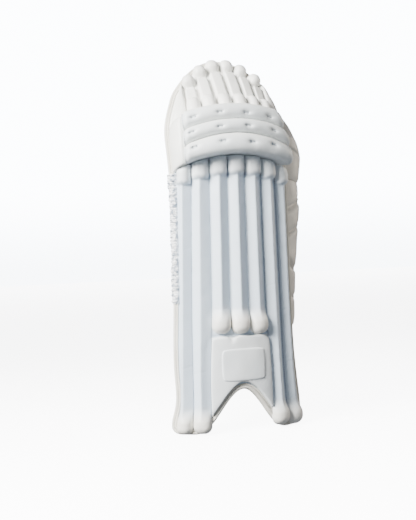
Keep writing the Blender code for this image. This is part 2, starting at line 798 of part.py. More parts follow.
def stand_on_floor():
    """Leans the pad back, presses its feet flat and puts the box's bottom middle at the origin."""
    pieces = [piece for piece in bpy.data.objects if piece.type == "MESH"]
    for piece in pieces:
        piece.data.transform(Matrix.Rotation(math.radians(-LEAN_BACK), 4, "X"))
    corners = [vertex.co for piece in pieces for vertex in piece.data.vertices]
    floor = min(corner.z for corner in corners) + FOOT_PRESS
    for corner in corners:
        corner.z = max(corner.z, floor)
    low = Vector([min(corner[i] for corner in corners) for i in range(3)])
    high = Vector([max(corner[i] for corner in corners) for i in range(3)])
    shift = Matrix.Translation((-(low.x + high.x) / 2.0, -(low.y + high.y) / 2.0, -low.z))
    for piece in pieces:
        piece.data.transform(shift)


def main():
    clear_scene()
    backing()
    edge_binding()
    for number in range(1, 8):
        shin_cane(number)
    for row in ROLL_ROWS:
        knee_roll(row)
    knee_side_panel()
    for number in range(1, 7):
        top_cane(number)
    top_side_panel("top_side_panel_left", -1)
    top_side_panel("top_side_panel_right", 1)
    instep_panel()
    badge_plate()
    wing("calf_wing", "calf")
    wing("knee_wing", "knee")
    ruffled_strip()
    for name, height, loop, angle, holder in STRAP_ROWS:
        strap(name, height, loop, angle, holder)
    stand_on_floor()


main()
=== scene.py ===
"""Looks of a traditional cane-fronted batting pad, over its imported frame.

The padding is modelled in the pad's own places: u runs round the shell from its middle line, s up
its surface and h out from its front face. Metres, +Z up, the front faces -Y.
"""
import math

import bmesh
import bpy
from mathutils import Matrix, Vector, kdtree, noise


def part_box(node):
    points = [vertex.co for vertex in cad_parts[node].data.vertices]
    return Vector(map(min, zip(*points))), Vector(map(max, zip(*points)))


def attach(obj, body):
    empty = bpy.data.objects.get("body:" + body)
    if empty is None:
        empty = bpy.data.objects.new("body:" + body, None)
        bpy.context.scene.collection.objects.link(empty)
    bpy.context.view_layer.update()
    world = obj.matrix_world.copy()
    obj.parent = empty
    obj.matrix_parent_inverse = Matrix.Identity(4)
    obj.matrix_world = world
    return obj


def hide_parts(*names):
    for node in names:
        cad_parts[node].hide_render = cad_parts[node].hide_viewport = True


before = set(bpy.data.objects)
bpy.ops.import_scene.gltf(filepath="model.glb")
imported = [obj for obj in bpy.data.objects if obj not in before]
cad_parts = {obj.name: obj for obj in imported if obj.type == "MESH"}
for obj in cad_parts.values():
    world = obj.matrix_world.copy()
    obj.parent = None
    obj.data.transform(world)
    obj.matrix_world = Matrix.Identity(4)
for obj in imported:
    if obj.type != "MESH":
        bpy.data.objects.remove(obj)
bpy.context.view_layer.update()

# Shell
SHIN_RADIUS = 0.190
SHELL_WALL = 0.020
KNEE_BASE = 0.494
KNEE_LENGTH = 0.081
TOP_HAT_LENGTH = 0.134
BEND_RADIUS = 0.235
CANE_HALF_WIDTH = 0.115
SHELL_MARGIN = 0.004
ARCH_HEIGHT = 0.078
ARCH_HALF_WIDTH = 0.089
BINDING_THICKNESS = 0.004
CROWN_HALF_WIDTH = 0.110
CORNER_LIFT = 0.007
CORNER_SHARE = 0.06
LEFT_DOME_POWER = 1.75
RIGHT_DOME_POWER = 2.30
SHOULDER = 0.865
LEAN_BACK = 1.5
CROWN = KNEE_BASE + KNEE_LENGTH + TOP_HAT_LENGTH
EDGE_WALL = 0.0105
EDGE_TAPER = 0.016
OUTLINE_STEPS = 90
LEATHER_DEPTH = 0.0060
QUILT_DEPTH = 0.0034
QUILT_HALF_WIDTH = 0.0042
TAPE_FLAP = 0.0066
TAPE_GROOVE = 0.0012
TAPE_WIDTH = 0.034
TAPE_THICKNESS = 0.0007
# Angle between two faces, in degrees, from which their edge is drawn sharp
SHARP_ANGLE = 62.0

# Padding
CANE_RIDGE = 0.0120
CANE_LIP = 0.0004
BOBBLE_HEIGHT = 0.0172
BOBBLE_LENGTH = 0.036
BOBBLE_DROOP = 0.0145
# Gathers round the top of a bobble: their distances below it
COLLARS = (0.0050, 0.0085)
COLLAR_DEPTH = 0.0007
COLLAR_HALF_WIDTH = 0.0008
BULB_HEIGHT = 0.0182
BULB_LENGTH = 0.046
# Height of the lower end of each shin cane, from the left
CANE_FEET = (0.001, 0.002, 0.178, 0.1765, 0.174, 0.006, 0.001)
ROLL_DEPTH = 0.036
ROLL_BULGE = 0.010
TOP_CANE_HEIGHT = 0.0135
TOP_CANE_HALF_WIDTH = 0.0760
TOP_CANE_MARGIN = 0.009
KNOB_LENGTH = 0.027
BULGE_LENGTH = 0.036
SIDE_PANEL_HEIGHT = 0.030
TOP_PANEL_HEIGHT = 0.0095
INSTEP_TOP = 0.172
INSTEP_MARGIN = 0.009
INSTEP_HEIGHT = 0.0085
INSTEP_FOOT = 0.070
PLATE_WIDTH = 0.078
PLATE_HEIGHT = 0.058
PLATE_CENTRE = 0.122
PLATE_RISE = 0.0016
FIT_GAP = 0.0003
SEAT_GAP = 0.0006

# Side pieces
WING_WALL = 0.011
WING_ROOT_ANGLE = 27.0
CALF_WING_BASE = 0.180
CALF_WING_TOP = 0.446
KNEE_WING_TOP = 0.628
WING_REACH = 72.0
WING_SPREAD = 0.13
WING_SEAT = 0.070
WALL_BLEND = 0.030
STRIP_BASE = 0.235
STRIP_TOP = 0.465

# Stitches: thread thickness, stitch length and the distance between two stitches
THREAD = 0.0017
STITCH = 0.0024
STITCH_PITCH = 0.0043
# How far the stitches in the cane seams stand out from the shell's face
SEAM_STITCH_HEIGHT = 0.0033

# Seams between the shin canes, as shares of the canes' half width.
# height: share of KNEE_BASE; one column for each of the eight seams
SEAM_ROWS = (
    # height, s0, s1, s2, s3, s4, s5, s6, s7
    (0.00, -1.08, -0.815, -0.515, -0.17, 0.13, 0.475, 0.79, 1.13),
    (0.04, -1.07, -0.81, -0.515, -0.17, 0.13, 0.475, 0.785, 1.12),
    (0.10, -1.01, -0.79, -0.52, -0.17, 0.13, 0.475, 0.77, 1.09),
    (0.21, -0.99, -0.78, -0.51, -0.17, 0.13, 0.470, 0.745, 1.03),
    (0.45, -0.95, -0.755, -0.45, -0.16, 0.14, 0.435, 0.73, 0.985),
    (1.00, -0.90, -0.665, -0.395, -0.117, 0.157, 0.435, 0.71, 0.98),
)

# How far the shell's edge stands out past the outer seams, as shares of SHELL_MARGIN
EDGE_ROWS = (
    # height as a share of CROWN, left, right
    (0.00, 2.9, 0.8), (0.03, 2.4, 1.0), (0.06, 1.6, 1.4), (0.10, 1.3, 1.2),
    (0.14, 2.0, 1.0), (0.21, 2.5, 0.5), (0.34, 2.2, 0.8), (0.60, 2.6, 1.0),
    (0.70, 4.0, 1.0), (0.75, 4.3, 1.0), (0.79, 3.2, 1.0), (0.865, -1.6, -1.4),
)

# Knee rolls: lower and upper edge, their droop at the sides (shares of KNEE_LENGTH),
# then the right end's place at the lower and the upper edge (shares of CANE_HALF_WIDTH)
ROLL_ROWS = (
    ("knee_roll_3", 0.00, 0.395, 0.175, 0.19, 0.85, 0.82),
    ("knee_roll_2", 0.395, 0.672, 0.19, 0.15, 0.82, 0.735),
    ("knee_roll_1", 0.672, 0.985, 0.15, 0.085, 0.735, 0.66),
)
ROLL_LEFT = -0.715
DROOP_PLACE = 0.70
DROOP_LIMIT = 1.9
OUTER_CANE = 0.765
# Section of a roll: share of its height, share of the bulge
ROLL_SECTION = (
    (0.02, -1.30), (0.00, -0.45), (0.05, 0.22), (0.18, 0.72), (0.38, 0.98),
    (0.60, 0.98), (0.80, 0.74), (0.93, 0.34), (1.00, -0.25), (0.98, -1.10),
)
# Tufts: place along the roll as a share of CANE_HALF_WIDTH, height as a share of the roll's
TUFT_ROWS = {
    "knee_roll_1": ((-0.560, 0.40), (-0.226, 0.36), (0.119, 0.28), (0.442, 0.28)),
    "knee_roll_2": ((-0.600, 0.53), (-0.240, 0.42), (0.124, 0.40), (0.477, 0.43)),
    "knee_roll_3": ((-0.577, 0.64), (-0.218, 0.60), (0.159, 0.51), (0.462, 0.60)),
}
TUFT_SPREAD = 0.0028
# A tuft's dents: depth, half width along the roll, half width up it
TUFT_PINCH = (0.0026, 0.0068, 0.0042)
TUFT_FOLD = (0.0016, 0.0054, 0.0011)
TUFT_HOLE = (0.0020, 0.0014, 0.0015)

# Seams between the top canes: low end and high end, as shares of TOP_CANE_HALF_WIDTH
TOP_SEAM_ROWS = (
    (-1.01, -0.985), (-0.64, -0.665), (-0.28, -0.335), (0.08, 0.015),
    (0.44, 0.365), (0.76, 0.690), (1.07, 1.015),
)

# Canes whose ridge sits off their middle, by these shares of their half width: foot, knee
RIDGE_ROWS = {1: (-0.42, -0.15), 2: (-0.10, -0.10)}

# Wings: height share, reach share, stand-off from the shell's face (share of SHELL_WALL)
CALF_WING_ROWS = (
    (0.00, 0.66, -0.64), (0.08, 0.70, -0.62), (0.16, 0.71, -0.60), (0.37, 0.74, -0.54),
    (0.60, 0.83, -0.42), (0.81, 0.94, -0.22), (0.92, 0.95, -0.22), (1.00, 0.92, -0.26),
)
KNEE_WING_ROWS = (
    (0.00, 0.88, -0.30), (0.06, 0.95, -0.14), (0.30, 1.02, 0.06),
    (0.40, 1.01, 0.06), (0.50, 0.95, 0.04), (0.60, 0.82, 0.00),
    (0.72, 0.67, -0.05), (0.86, 0.57, -0.20), (1.00, 0.51, -0.30),
)

# Straps: height, size of the loop, angle of the right end in degrees, what holds that end
STRAP_ROWS = (
    ("knee_strap", 0.468, 1.00, 64.0, "knee"),
    ("calf_strap", 0.330, 0.96, 54.0, "calf"),
    ("ankle_strap", 0.110, 0.80, 29.5, "shell"),
)
STRAP_WIDTH = 0.038
STRAP_THICKNESS = 0.0025
STRAP_TAB = 7.0
STRAP_LEFT_ANGLE = -23.0
# Plan of a strap's loop: x and y as shares of SHIN_RADIUS
LOOP_POINTS = (
    (-0.475, -0.62), (-0.450, -0.42), (-0.340, -0.17), (-0.110, -0.02), (0.160, 0.00),
)

# Folds pressed into the wings: start and end as (share out, share up), depth in metres
WING_FOLDS = {
    "calf": (
        ((0.10, 0.74), (1.00, 0.90), 0.0060),
        ((0.45, 0.62), (1.00, 0.72), 0.0048),
        ((0.10, 0.56), (0.95, 0.40), 0.0044),
        ((0.10, 0.24), (1.00, 0.20), 0.0026),
    ),
    "knee": (((0.10, 0.66), (0.75, 0.30), 0.0022),),
}
FOLD_HALF_WIDTH = 0.0055
# How far the line where the wings meet rises over CALF_WING_TOP, at their root and free edge
WING_MEETING = (0.018, 0.003)

# Creases across canes, as a worn pad shows: cane, height up the shell, depth
CREASE_HALF_WIDTH = 0.0010
CREASE_ROWS = (
    (1, 0.120, 0.0006), (2, 0.112, 0.0004), (6, 0.262, 0.0006),
    (7, 0.216, 0.0006), (1, 0.330, 0.0004), (7, 0.120, 0.0004),
)

PHOTO_WIDTH = 416.0
FOCAL_PIXELS = 858.7
SENSOR_WIDTH = 36.0
CAMERA_DISTANCE = 1.712
CAMERA_AZIMUTH = -16.5
CAMERA_HEIGHT = 0.310
CAMERA_ROLL = 2.5


def lerp(a, b, share):
    return a + (b - a) * share


def clamp(value):
    return min(1.0, max(0.0, value))


def smooth(value):
    value = clamp(value)
    return value * value * (3.0 - 2.0 * value)


def smooth_max(a, b, round_off):
    """The larger of two heights, with the crease between them rounded off."""
    return 0.5 * (a + b + math.sqrt((a - b) ** 2 + round_off ** 2) - round_off)


def superround(t, power):
    """Falls from 1 at t = 0 to 0 at t = 1 like the end of a rounded form."""
    return (1.0 - clamp(t) ** power) ** (1.0 / power)


def knoll(a, b, blend, power):
    """A rounded end over two distances from its middle, blended into one."""
    return superround((a ** blend + b ** blend) ** (1.0 / blend), power)


def swell(share, power):
    """Swell of a cushion at a share of the way across it: 1 in the middle, 0 at both edges."""
    return superround(abs(2.0 * share - 1.0), power)


def bell(distance, half_width):
    return math.exp(-(distance / half_width) ** 2)


def read_rows(rows, key, column):
    """Value of a column at key, on a smooth line through the table's rows."""
    if key <= rows[0][0]:
        return rows[0][column]
    if key >= rows[-1][0]:
        return rows[-1][column]
    i = next(i for i in range(len(rows) - 1) if key <= rows[i + 1][0])
    low, high = rows[i], rows[i + 1]

    def slope(j):
        before, after = rows[max(0, j - 1)], rows[min(len(rows) - 1, j + 1)]
        return (after[column] - before[column]) / (after[0] - before[0])

    span = high[0] - low[0]
    t = (key - low[0]) / span
    t2, t3 = t * t, t * t * t
    return ((2 * t3 - 3 * t2 + 1) * low[column] + (t3 - 2 * t2 + t) * span * slope(i)
            + (3 * t2 - 2 * t3) * high[column] + (t3 - t2) * span * slope(i + 1))


def through(points, t):
    """Point at the share t of a smooth line through points."""
    place = clamp(t) * (len(points) - 1)
    i = min(len(points) - 2, int(place))
    t = place - i
    a, b, c, d = (Vector(points[min(len(points) - 1, max(0, i + k))]) for k in (-1, 0, 1, 2))
    bend, twist = 2 * a - 5 * b + 4 * c - d, 3 * b - a - 3 * c + d
    return 0.5 * (2 * b + (c - a) * t + bend * t ** 2 + twist * t ** 3)


def spine(s):
    """Front line of the shell: y, z and lean at a distance s up its surface."""
    lean = max(0.0, (s - KNEE_BASE) / BEND_RADIUS)
    if lean == 0.0:
        return -SHIN_RADIUS, s, 0.0
    y = -SHIN_RADIUS + BEND_RADIUS * (1.0 - math.cos(lean))
    return y, KNEE_BASE + BEND_RADIUS * math.sin(lean), lean


def surface(u, s, h=0.0):
    """Point u round the shell from its middle, s up it, and h out from its front face."""
    y, z, lean = spine(s)
    inward = Vector((0.0, math.cos(lean), -math.sin(lean)))
    angle = u / SHIN_RADIUS
    centre = Vector((0.0, y, z)) + inward * SHIN_RADIUS
    outward = Vector((math.sin(angle), 0.0, 0.0)) - inward * math.cos(angle)
    return centre + outward * (SHIN_RADIUS + h)


def seam(index, s):
    return read_rows(SEAM_ROWS, s / KNEE_BASE, index + 1) * CANE_HALF_WIDTH


def shell_left(s):
    return seam(0, s) - read_rows(EDGE_ROWS, s / CROWN, 1) * SHELL_MARGIN


def shell_right(s):
    return seam(7, s) + read_rows(EDGE_ROWS, s / CROWN, 2) * SHELL_MARGIN


def arch(u):
    """Lower edge of the shell: two flat horns and a raised cosine between them."""
    swing = min(1.0, abs(u) / ARCH_HALF_WIDTH)
    return BINDING_THICKNESS + ARCH_HEIGHT * 0.5 * (1.0 + math.cos(math.pi * swing))


def dome(u):
    """Upper edge of the shell."""
    drop = CROWN - SHOULDER * CROWN
    power = LEFT_DOME_POWER if u < 0.0 else RIGHT_DOME_POWER
    return CROWN - drop * (abs(u) / CROWN_HALF_WIDTH) ** power


def shell_place(f, g):
    """Blends the four edges of the shell: f from left to right, g from horns to crown."""
    corner_s = BINDING_THICKNESS + CORNER_LIFT
    shoulder_s = SHOULDER * CROWN
    foot_u = lerp(shell_left(corner_s), shell_right(corner_s), f)
    lift = max(0.0, 1.0 - min(f, 1.0 - f) / CORNER_SHARE) ** 2
    crown_u = lerp(shell_left(shoulder_s), shell_right(shoulder_s), f)
    side_s = lerp(corner_s, shoulder_s, g)
    u = lerp(shell_left(side_s), shell_right(side_s), f)
    return u, lerp(arch(foot_u) + CORNER_LIFT * lift, dome(crown_u), g)


def outline(steps):
    """The shell's edge, once round from the left horn, as (u, s) pairs."""
    shares = [i / steps for i in range(steps)]
    foot = [shell_place(f, 0.0) for f in shares]
    right = [shell_place(1.0, g) for g in shares]
    top = [shell_place(1.0 - f, 1.0) for f in shares]
    left = [shell_place(0.0, 1.0 - g) for g in shares]
    return foot + right + top + left


def pad_to_row():
    """Places the pad's own frame in the row's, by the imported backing's right, front and foot."""
    lean = Matrix.Rotation(math.radians(-LEAN_BACK), 4, "X")
    corners = [lean @ surface(u, s, h) for u, s in outline(40) for h in (0.0, -SHELL_WALL)]
    low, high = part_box("backing")
    shift = Vector((high[0] - max(corner.x for corner in corners),
                    low[1] - min(corner.y for corner in corners),
                    low[2] - min(corner.z for corner in corners)))
    return Matrix.Translation(shift) @ lean


PAD_TO_ROW = pad_to_row()


def paint(code):
    """An sRGB hex colour as linear RGBA."""
    channels = [int(code[i:i + 2], 16) / 255.0 for i in (1, 3, 5)]
    linear = [c / 12.92 if c <= 0.04045 else ((c + 0.055) / 1.055) ** 2.4 for c in channels]
    return (*linear, 1.0)


def add_node(tree, kind, inputs=None, **settings):
    """Adds a node, with its settings and with values or links on its inputs."""
    node = tree.nodes.new(kind)
    for key, value in settings.items():
        setattr(node, key, value)
    for key, value in (inputs or {}).items():
        if isinstance(value, bpy.types.NodeSocket):
            tree.links.new(value, node.inputs[key])
        else:
            node.inputs[key].default_value = value
    return node


def new_material(name, roughness, **values):
    """A material with its Principled shader; values are the shader's inputs by name."""
    made = bpy.data.materials.new(name)
    made.use_nodes = True
    shader = made.node_tree.nodes["Principled BSDF"]
    shader.inputs["Roughness"].default_value = roughness
    for key, value in values.items():
        shader.inputs[key.replace("_", " ")].default_value = value
    return made, made.node_tree, shader


def blend(tree, low, high, share):
    """Colour between two colours or links by a share."""
    node = add_node(tree, "ShaderNodeMix", data_type="RGBA", clamp_factor=True)
    for index, value in ((0, share), (6, low), (7, high)):
        if isinstance(value, bpy.types.NodeSocket):
            tree.links.new(value, node.inputs[index])
        else:
            node.inputs[index].default_value = value
    return node.outputs[2]


def tint(tree, low, high, share):
    """Colour between two hex paints by a share."""
    return blend(tree, paint(low), paint(high), share)


def run(tree, value, start, end, low, high, kind="SMOOTHSTEP"):
    """Runs from low, where the value is start, to high, where it is end."""
    return add_node(tree, "ShaderNodeMapRange", {
        "Value": value, "From Min": start, "From Max": end, "To Min": low, "To Max": high},
        interpolation_type=kind).outputs["Result"]


def spread(tree, value, low, high):
    """A noise value spread from low to high over its middle range."""
    return run(tree, value, 0.35, 0.65, low, high, "LINEAR")


def object_place(tree):
    return add_node(tree, "ShaderNodeTexCoord").outputs["Object"]


def lumps(tree, place, size, detail=2.0, roughness=0.5):
    """Noise whose lumps are about a size across."""
    return add_node(tree, "ShaderNodeTexNoise", {
        "Vector": place, "Scale": 1.0 / size, "Detail": detail, "Roughness": roughness}).outputs["Fac"]


def cells(tree, place, size, feature="F1"):
    """Cells about a size across, by the distance from their middles."""
    return add_node(tree, "ShaderNodeTexVoronoi", {"Vector": place, "Scale": 1.0 / size},
                    feature=feature).outputs["Distance"]


def maths(tree, operation, a, b):
    return add_node(tree, "ShaderNodeMath", {0: a, 1: b}, operation=operation).outputs[0]


def relief(tree, height, strength, distance, under=None):
    """Normal of a relief, over the normal of another where one is given."""
    inputs = {"Height": height, "Strength": strength, "Distance": distance}
    if under is not None:
        inputs["Normal"] = under
    return add_node(tree, "ShaderNodeBump", inputs).outputs["Normal"]


def dress(tree, shader, colour, normal=None):
    """Links a material's colour, and its normal where it has relief."""
    tree.links.new(colour, shader.inputs["Base Color"])
    if normal is not None:
        tree.links.new(normal, shader.inputs["Normal"])


def coated_leather(name, painted_shade_tint, painted_lit_tint, mark):
    """White split leather under an embossed polyurethane film: satin, a fine pebble 1 mm across,
    soft handling creases 9 mm apart, and faint greying where hands and grass have rubbed it."""
    made, tree, shader = new_material(name, 0.42, Specular_IOR_Level=0.45)
    place = object_place(tree)
    pebble = cells(tree, place, 0.0011, "SMOOTH_F1")
    crease = lumps(tree, place, 0.009, 5.0, 0.62)
    rub = lumps(tree, place, 0.055, 3.0)
    # Painted light: a share carried on each piece's vertices tints the leather from a bluish colour
    # standing in for shade to a cream colour standing in for light from above.
    painted_light_warmth = add_node(tree, "ShaderNodeAttribute", attribute_name="painted_light_warmth").outputs["Fac"]
    worn = blend(tree, tint(tree, painted_shade_tint, painted_lit_tint, painted_light_warmth), paint(mark), spread(tree, rub, 0.0, 0.22))
    soft = relief(tree, crease, 0.30, 0.0012)
    dress(tree, shader, worn, relief(tree, pebble, 0.25, 0.0002, soft))
    tree.links.new(spread(tree, crease, 0.36, 0.50), shader.inputs["Roughness"])
    return made


# Distance between two bands of a wave texture whose scale is 1
WAVE_PERIOD = 0.314


def woven(name, light, dark, pitch, roughness, depth):
    """Woven cloth on the piece's own UV map, which counts metres: crossing threads a pitch apart."""
    made, tree, shader = new_material(name, roughness, Sheen_Weight=0.15)
    place = add_node(tree, "ShaderNodeUVMap", uv_map="weave").outputs["UV"]
    threads = [add_node(tree, "ShaderNodeTexWave", {"Vector": place, "Scale": WAVE_PERIOD / pitch},
                        bands_direction=axis).outputs["Fac"] for axis in ("X", "Y")]
    cross = maths(tree, "MULTIPLY", *threads)
    share = maths(tree, "ADD", cross, spread(tree, lumps(tree, place, 0.03, 3.0), -0.2, 0.3))
    dress(tree, shader, tint(tree, dark, light, share), relief(tree, cross, 0.6, depth))
    return made


def brushed_cotton(name, light, dark):
    """Napped cotton drill: matt, a twill line 1.2 mm apart that the nap half hides, and lint."""
    made, tree, shader = new_material(name, 0.92, Sheen_Weight=0.3)
    place = object_place(tree)
    turned = add_node(tree, "ShaderNodeMapping", {
        "Vector": place, "Rotation": (0.0, math.radians(35.0), 0.0)}).outputs["Vector"]
    twill = add_node(tree, "ShaderNodeTexWave", {
        "Vector": turned, "Scale": WAVE_PERIOD / 0.0012, "Distortion": 1.5, "Detail": 2.0}).outputs["Fac"]
    nap = lumps(tree, place, 0.004, 6.0, 0.7)
    height = maths(tree, "ADD", twill, nap)
    dress(tree, shader, tint(tree, dark, light, spread(tree, nap, 0.1, 1.0)),
          relief(tree, height, 0.45, 0.0005))
    return made


def knitted_mesh(name, light, shade):
    """Warp-knitted polyester mesh: holes 2 mm apart, drawn about twice as coarse as they are."""
    made, tree, shader = new_material(name, 0.75)
    place = object_place(tree)
    holes = cells(tree, place, 0.0020)
    ruck = spread(tree, lumps(tree, place, 0.006, 4.0), -0.55, 0.70)
    # Painted shade: the holes and the rucks are darkened towards a blue-grey, as if in shadow.
    lit = maths(tree, "ADD", holes, ruck)
    dress(tree, shader, tint(tree, shade, light, lit), relief(tree, holes, 0.7, 0.0006))
    return made


def bonded_thread(name, colour):
    """Bonded polyester sewing thread, slightly glossy, laid twist 0.6 mm long."""
    made, tree, shader = new_material(name, 0.5)
    twist = lumps(tree, object_place(tree), 0.0006)
    dress(tree, shader, tint(tree, colour, "#9AA6B6", spread(tree, twist, 0.0, 0.25)))
    return made


FINISHES = {
    # Painted light: each leather passes from a bluish painted shade tint to a cream painted lit tint; the
    # wing leather is darker throughout, as painted shade on the side turned from the key light.
    "shin_leather": coated_leather("pu_coated_split_leather_cool", "#D6E3F0", "#F3F0E8", "#C6D2E0"),
    "knee_leather": coated_leather("pu_coated_split_leather_white", "#DDE5EA", "#F4F3EE", "#DCDCD9"),
    "wing_leather": coated_leather("pu_coated_split_leather_painted_shade", "#DAD8D2", "#E9E7E1", "#C9C5BC"),
    "binding": woven("woven_cotton_binding_tape", "#EFEDE6", "#D9D5CA", 0.0016, 0.8, 0.0003),
    "webbing": woven("woven_polyester_webbing", "#EDEDEB", "#B9BAB9", 0.0026, 0.75, 0.0006),
    "lining": brushed_cotton("brushed_cotton_drill", "#E8E7E2", "#D3D1CA"),
    # Painted shade: the mesh's blue-grey is the shade painted into its holes and rucks.
    "mesh": knitted_mesh("warp_knitted_polyester_mesh", "#F8F9FA", "#7F8B9B"),
}
SEAM_THREAD = bonded_thread("bonded_polyester_thread_grey", "#3D4A62")
PALE_THREAD = bonded_thread("bonded_polyester_thread_pale", "#8D8B85")


def mesh_of(name, bm):
    mesh = bpy.data.meshes.new(name)
    bm.to_mesh(mesh)
    bm.free()
    return mesh


def put_in_scene(name, data):
    made = bpy.data.objects.new(name, data)
    bpy.context.scene.collection.objects.link(made)
    return made


def make_piece(name, bm, slot, nodes=(), finish=None):
    """Turns a bmesh in the pad's frame into a piece of the scene, in its slot's finish by default."""
    bmesh.ops.transform(bm, matrix=PAD_TO_ROW, verts=bm.verts)
    bmesh.ops.recalc_face_normals(bm, faces=bm.faces)
    mesh = mesh_of(name, bm)
    mesh.shade_smooth()
    mesh.set_sharp_from_angle(angle=math.radians(SHARP_ANGLE))
    mesh.materials.append(finish or FINISHES[slot])
    piece = put_in_scene(name, mesh)
    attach(piece, "root")
    if nodes:
        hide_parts(*nodes)


def stuffed(columns, rows, place, painted_light_warmth=0.0, cloth=None):
    """A closed stuffed form: a grid extruded to two faces, both shaped by place(f, g, in front)."""
    bm = bmesh.new()
    layer = bm.verts.layers.float.new("painted_light_warmth")
    bmesh.ops.create_grid(bm, x_segments=columns, y_segments=rows, size=0.5)
    grown = bmesh.ops.extrude_face_region(bm, geom=bm.faces[:])["geom"]
    lifted = {item for item in grown if isinstance(item, bmesh.types.BMVert)}
    if cloth:
        weave = bm.loops.layers.uv.new("weave")
        lifted = {vert.index for vert in lifted}
        for face in bm.faces:
            for loop in face.loops:
                loop[weave].uv = ((loop.vert.co.x + 0.5) * cloth[0], (loop.vert.co.y + 0.5) * cloth[1])
    for vert in bm.verts:
        f, g = vert.co.x + 0.5, vert.co.y + 0.5
        # Painted light: each vertex gets its share of the cream lit tint against the bluish shade tint.
        vert[layer] = painted_light_warmth(f, g) if callable(painted_light_warmth) else painted_light_warmth
        vert.co = place(f, g, vert in lifted)
    return bm


def ripple(u, s, size, height):
    """Slight unevenness of the stuffing under the leather."""
    return height * noise.noise(Vector((u, s, 0.37)) / size)


def roll_edge(row, u, upper):
    """Height of a roll's lower or upper edge at u; it droops towards the sides."""
    share, droop = (row[2], row[4]) if upper else (row[1], row[3])
    sag = droop * KNEE_LENGTH * min(DROOP_LIMIT, (u / (DROOP_PLACE * CANE_HALF_WIDTH)) ** 2)
    return KNEE_BASE + share * KNEE_LENGTH - sag


def cane_top(number):
    return min(roll_edge(ROLL_ROWS[0], seam(i, KNEE_BASE), False) for i in (number - 1, number)) - SEAT_GAP


def soft_roof(x):
    """Section of a cane's shaft: two flat slopes that meet in a slightly rounded ridge."""
    return 1.0 - math.sqrt(x * x + 0.0036) + 0.06 * abs(x)


def seam_drop(x):
    """Draws the leather down to the shell in the last millimetre before a seam."""
    return superround(abs(x), 11.0)


def half_width(number, s):
    return (seam(number, s) - seam(number - 1, s)) / 2.0


def shin_cane(number):
    """A long cane: a bobble under the knee, a ridged shaft, and a rounded bulb at the foot."""
    foot = CANE_FEET[number - 1]
    top = cane_top(number)
    middle_u = (seam(number - 1, KNEE_BASE) + seam(number, KNEE_BASE)) / 2.0
    droop = BOBBLE_DROOP * (middle_u / (OUTER_CANE * CANE_HALF_WIDTH)) ** 2
    bobble_foot = KNEE_BASE - BOBBLE_LENGTH - droop
    foot_round = 0.95 * half_width(number, foot)

    def top_at(u):
        roll_end = lerp(ROLL_ROWS[0][5], ROLL_ROWS[0][6], 0.1) * CANE_HALF_WIDTH
        corner = clamp((u - roll_end + 0.004) / 0.012)
        return roll_edge(ROLL_ROWS[0], min(u, roll_end), False) - SEAT_GAP - 0.006 * corner ** 2

    def width(s):
        return superround(0.97 * (foot + foot_round - s) / foot_round, 2.3)

    def rise(x, s, top):
        ridge = lerp(*RIDGE_ROWS.get(number, (0.0, 0.0)), smooth(s / KNEE_BASE))
        from_ridge = (x - ridge) / (1.0 + ridge if x < ridge else 1.0 - ridge)
        shaft = CANE_LIP + (CANE_RIDGE - CANE_LIP) * soft_roof(from_ridge)
        reach = 0.80 * half_width(number, s)
        below = max(0.0, bobble_foot + reach - s) / reach
        bobble = BOBBLE_HEIGHT * knoll(abs(x / 0.97), below, 3.0, 2.2)
        bobble *= 1.0 - 0.10 * smooth((s - top + 0.006) / 0.006)
        if 2 < number < 6:
            bobble -= COLLAR_DEPTH * sum(bell(s - top + down, COLLAR_HALF_WIDTH) for down in COLLARS)
        across = abs(x) * width(s)
        end = max(0.0, foot + foot_round - s) / foot_round
        bulb = BULB_HEIGHT * knoll(across, end, 2.3, 2.2)
        fade = smooth((foot + BULB_LENGTH - s) / (0.55 * BULB_LENGTH))
        h = smooth_max(lerp(shaft, bulb, fade), bobble, 0.0022)
        for cane, height, depth in CREASE_ROWS:
            if cane == number:
                h -= depth * bell(s - height - 0.004 * x, CREASE_HALF_WIDTH)
        return SEAT_GAP + h * seam_drop(x)

    def place(f, g, up):
        x, s = 2.0 * f - 1.0, lerp(foot, top, g)
        u = (seam(number - 1, s) + seam(number, s)) / 2.0 + x * half_width(number, s) * width(s)
        s += (top_at(u) - top) * smooth((s - bobble_foot) / (top - bobble_foot))
        h = rise(x, s, top_at(u)) + ripple(u, s, 0.016, 0.0004) * seam_drop(x) if up else SEAT_GAP * 0.5
        return surface(u, s, h)

    # Painted light: the bulb at the foot and the bobble under the knee take the cream lit tint, the shaft
    # between them the bluish shade tint.
    def painted_light_warmth(f, g):
        s = lerp(foot, top, g)
        return max(smooth((foot + 1.2 * BULB_LENGTH - s) / (0.8 * BULB_LENGTH)),
                   0.45 * smooth((s - bobble_foot) / 0.010))

    rows = int((top - foot) / 0.0018)
    bm = stuffed(26, rows, place, painted_light_warmth)
    make_piece(f"shin_cane_cover_{number}", bm, "shin_leather", [f"shin_cane_{number}"])


def section_share(height):
    """Where along a roll's section a share of its height lies."""
    steps = [i / 100.0 for i in range(20, 81)]
    return min(steps, key=lambda g: abs(through(ROLL_SECTION, g)[0] - height))


def dent(size, du, ds):
    depth, along, upward = size
    return depth * bell(du, along) * bell(ds, upward)


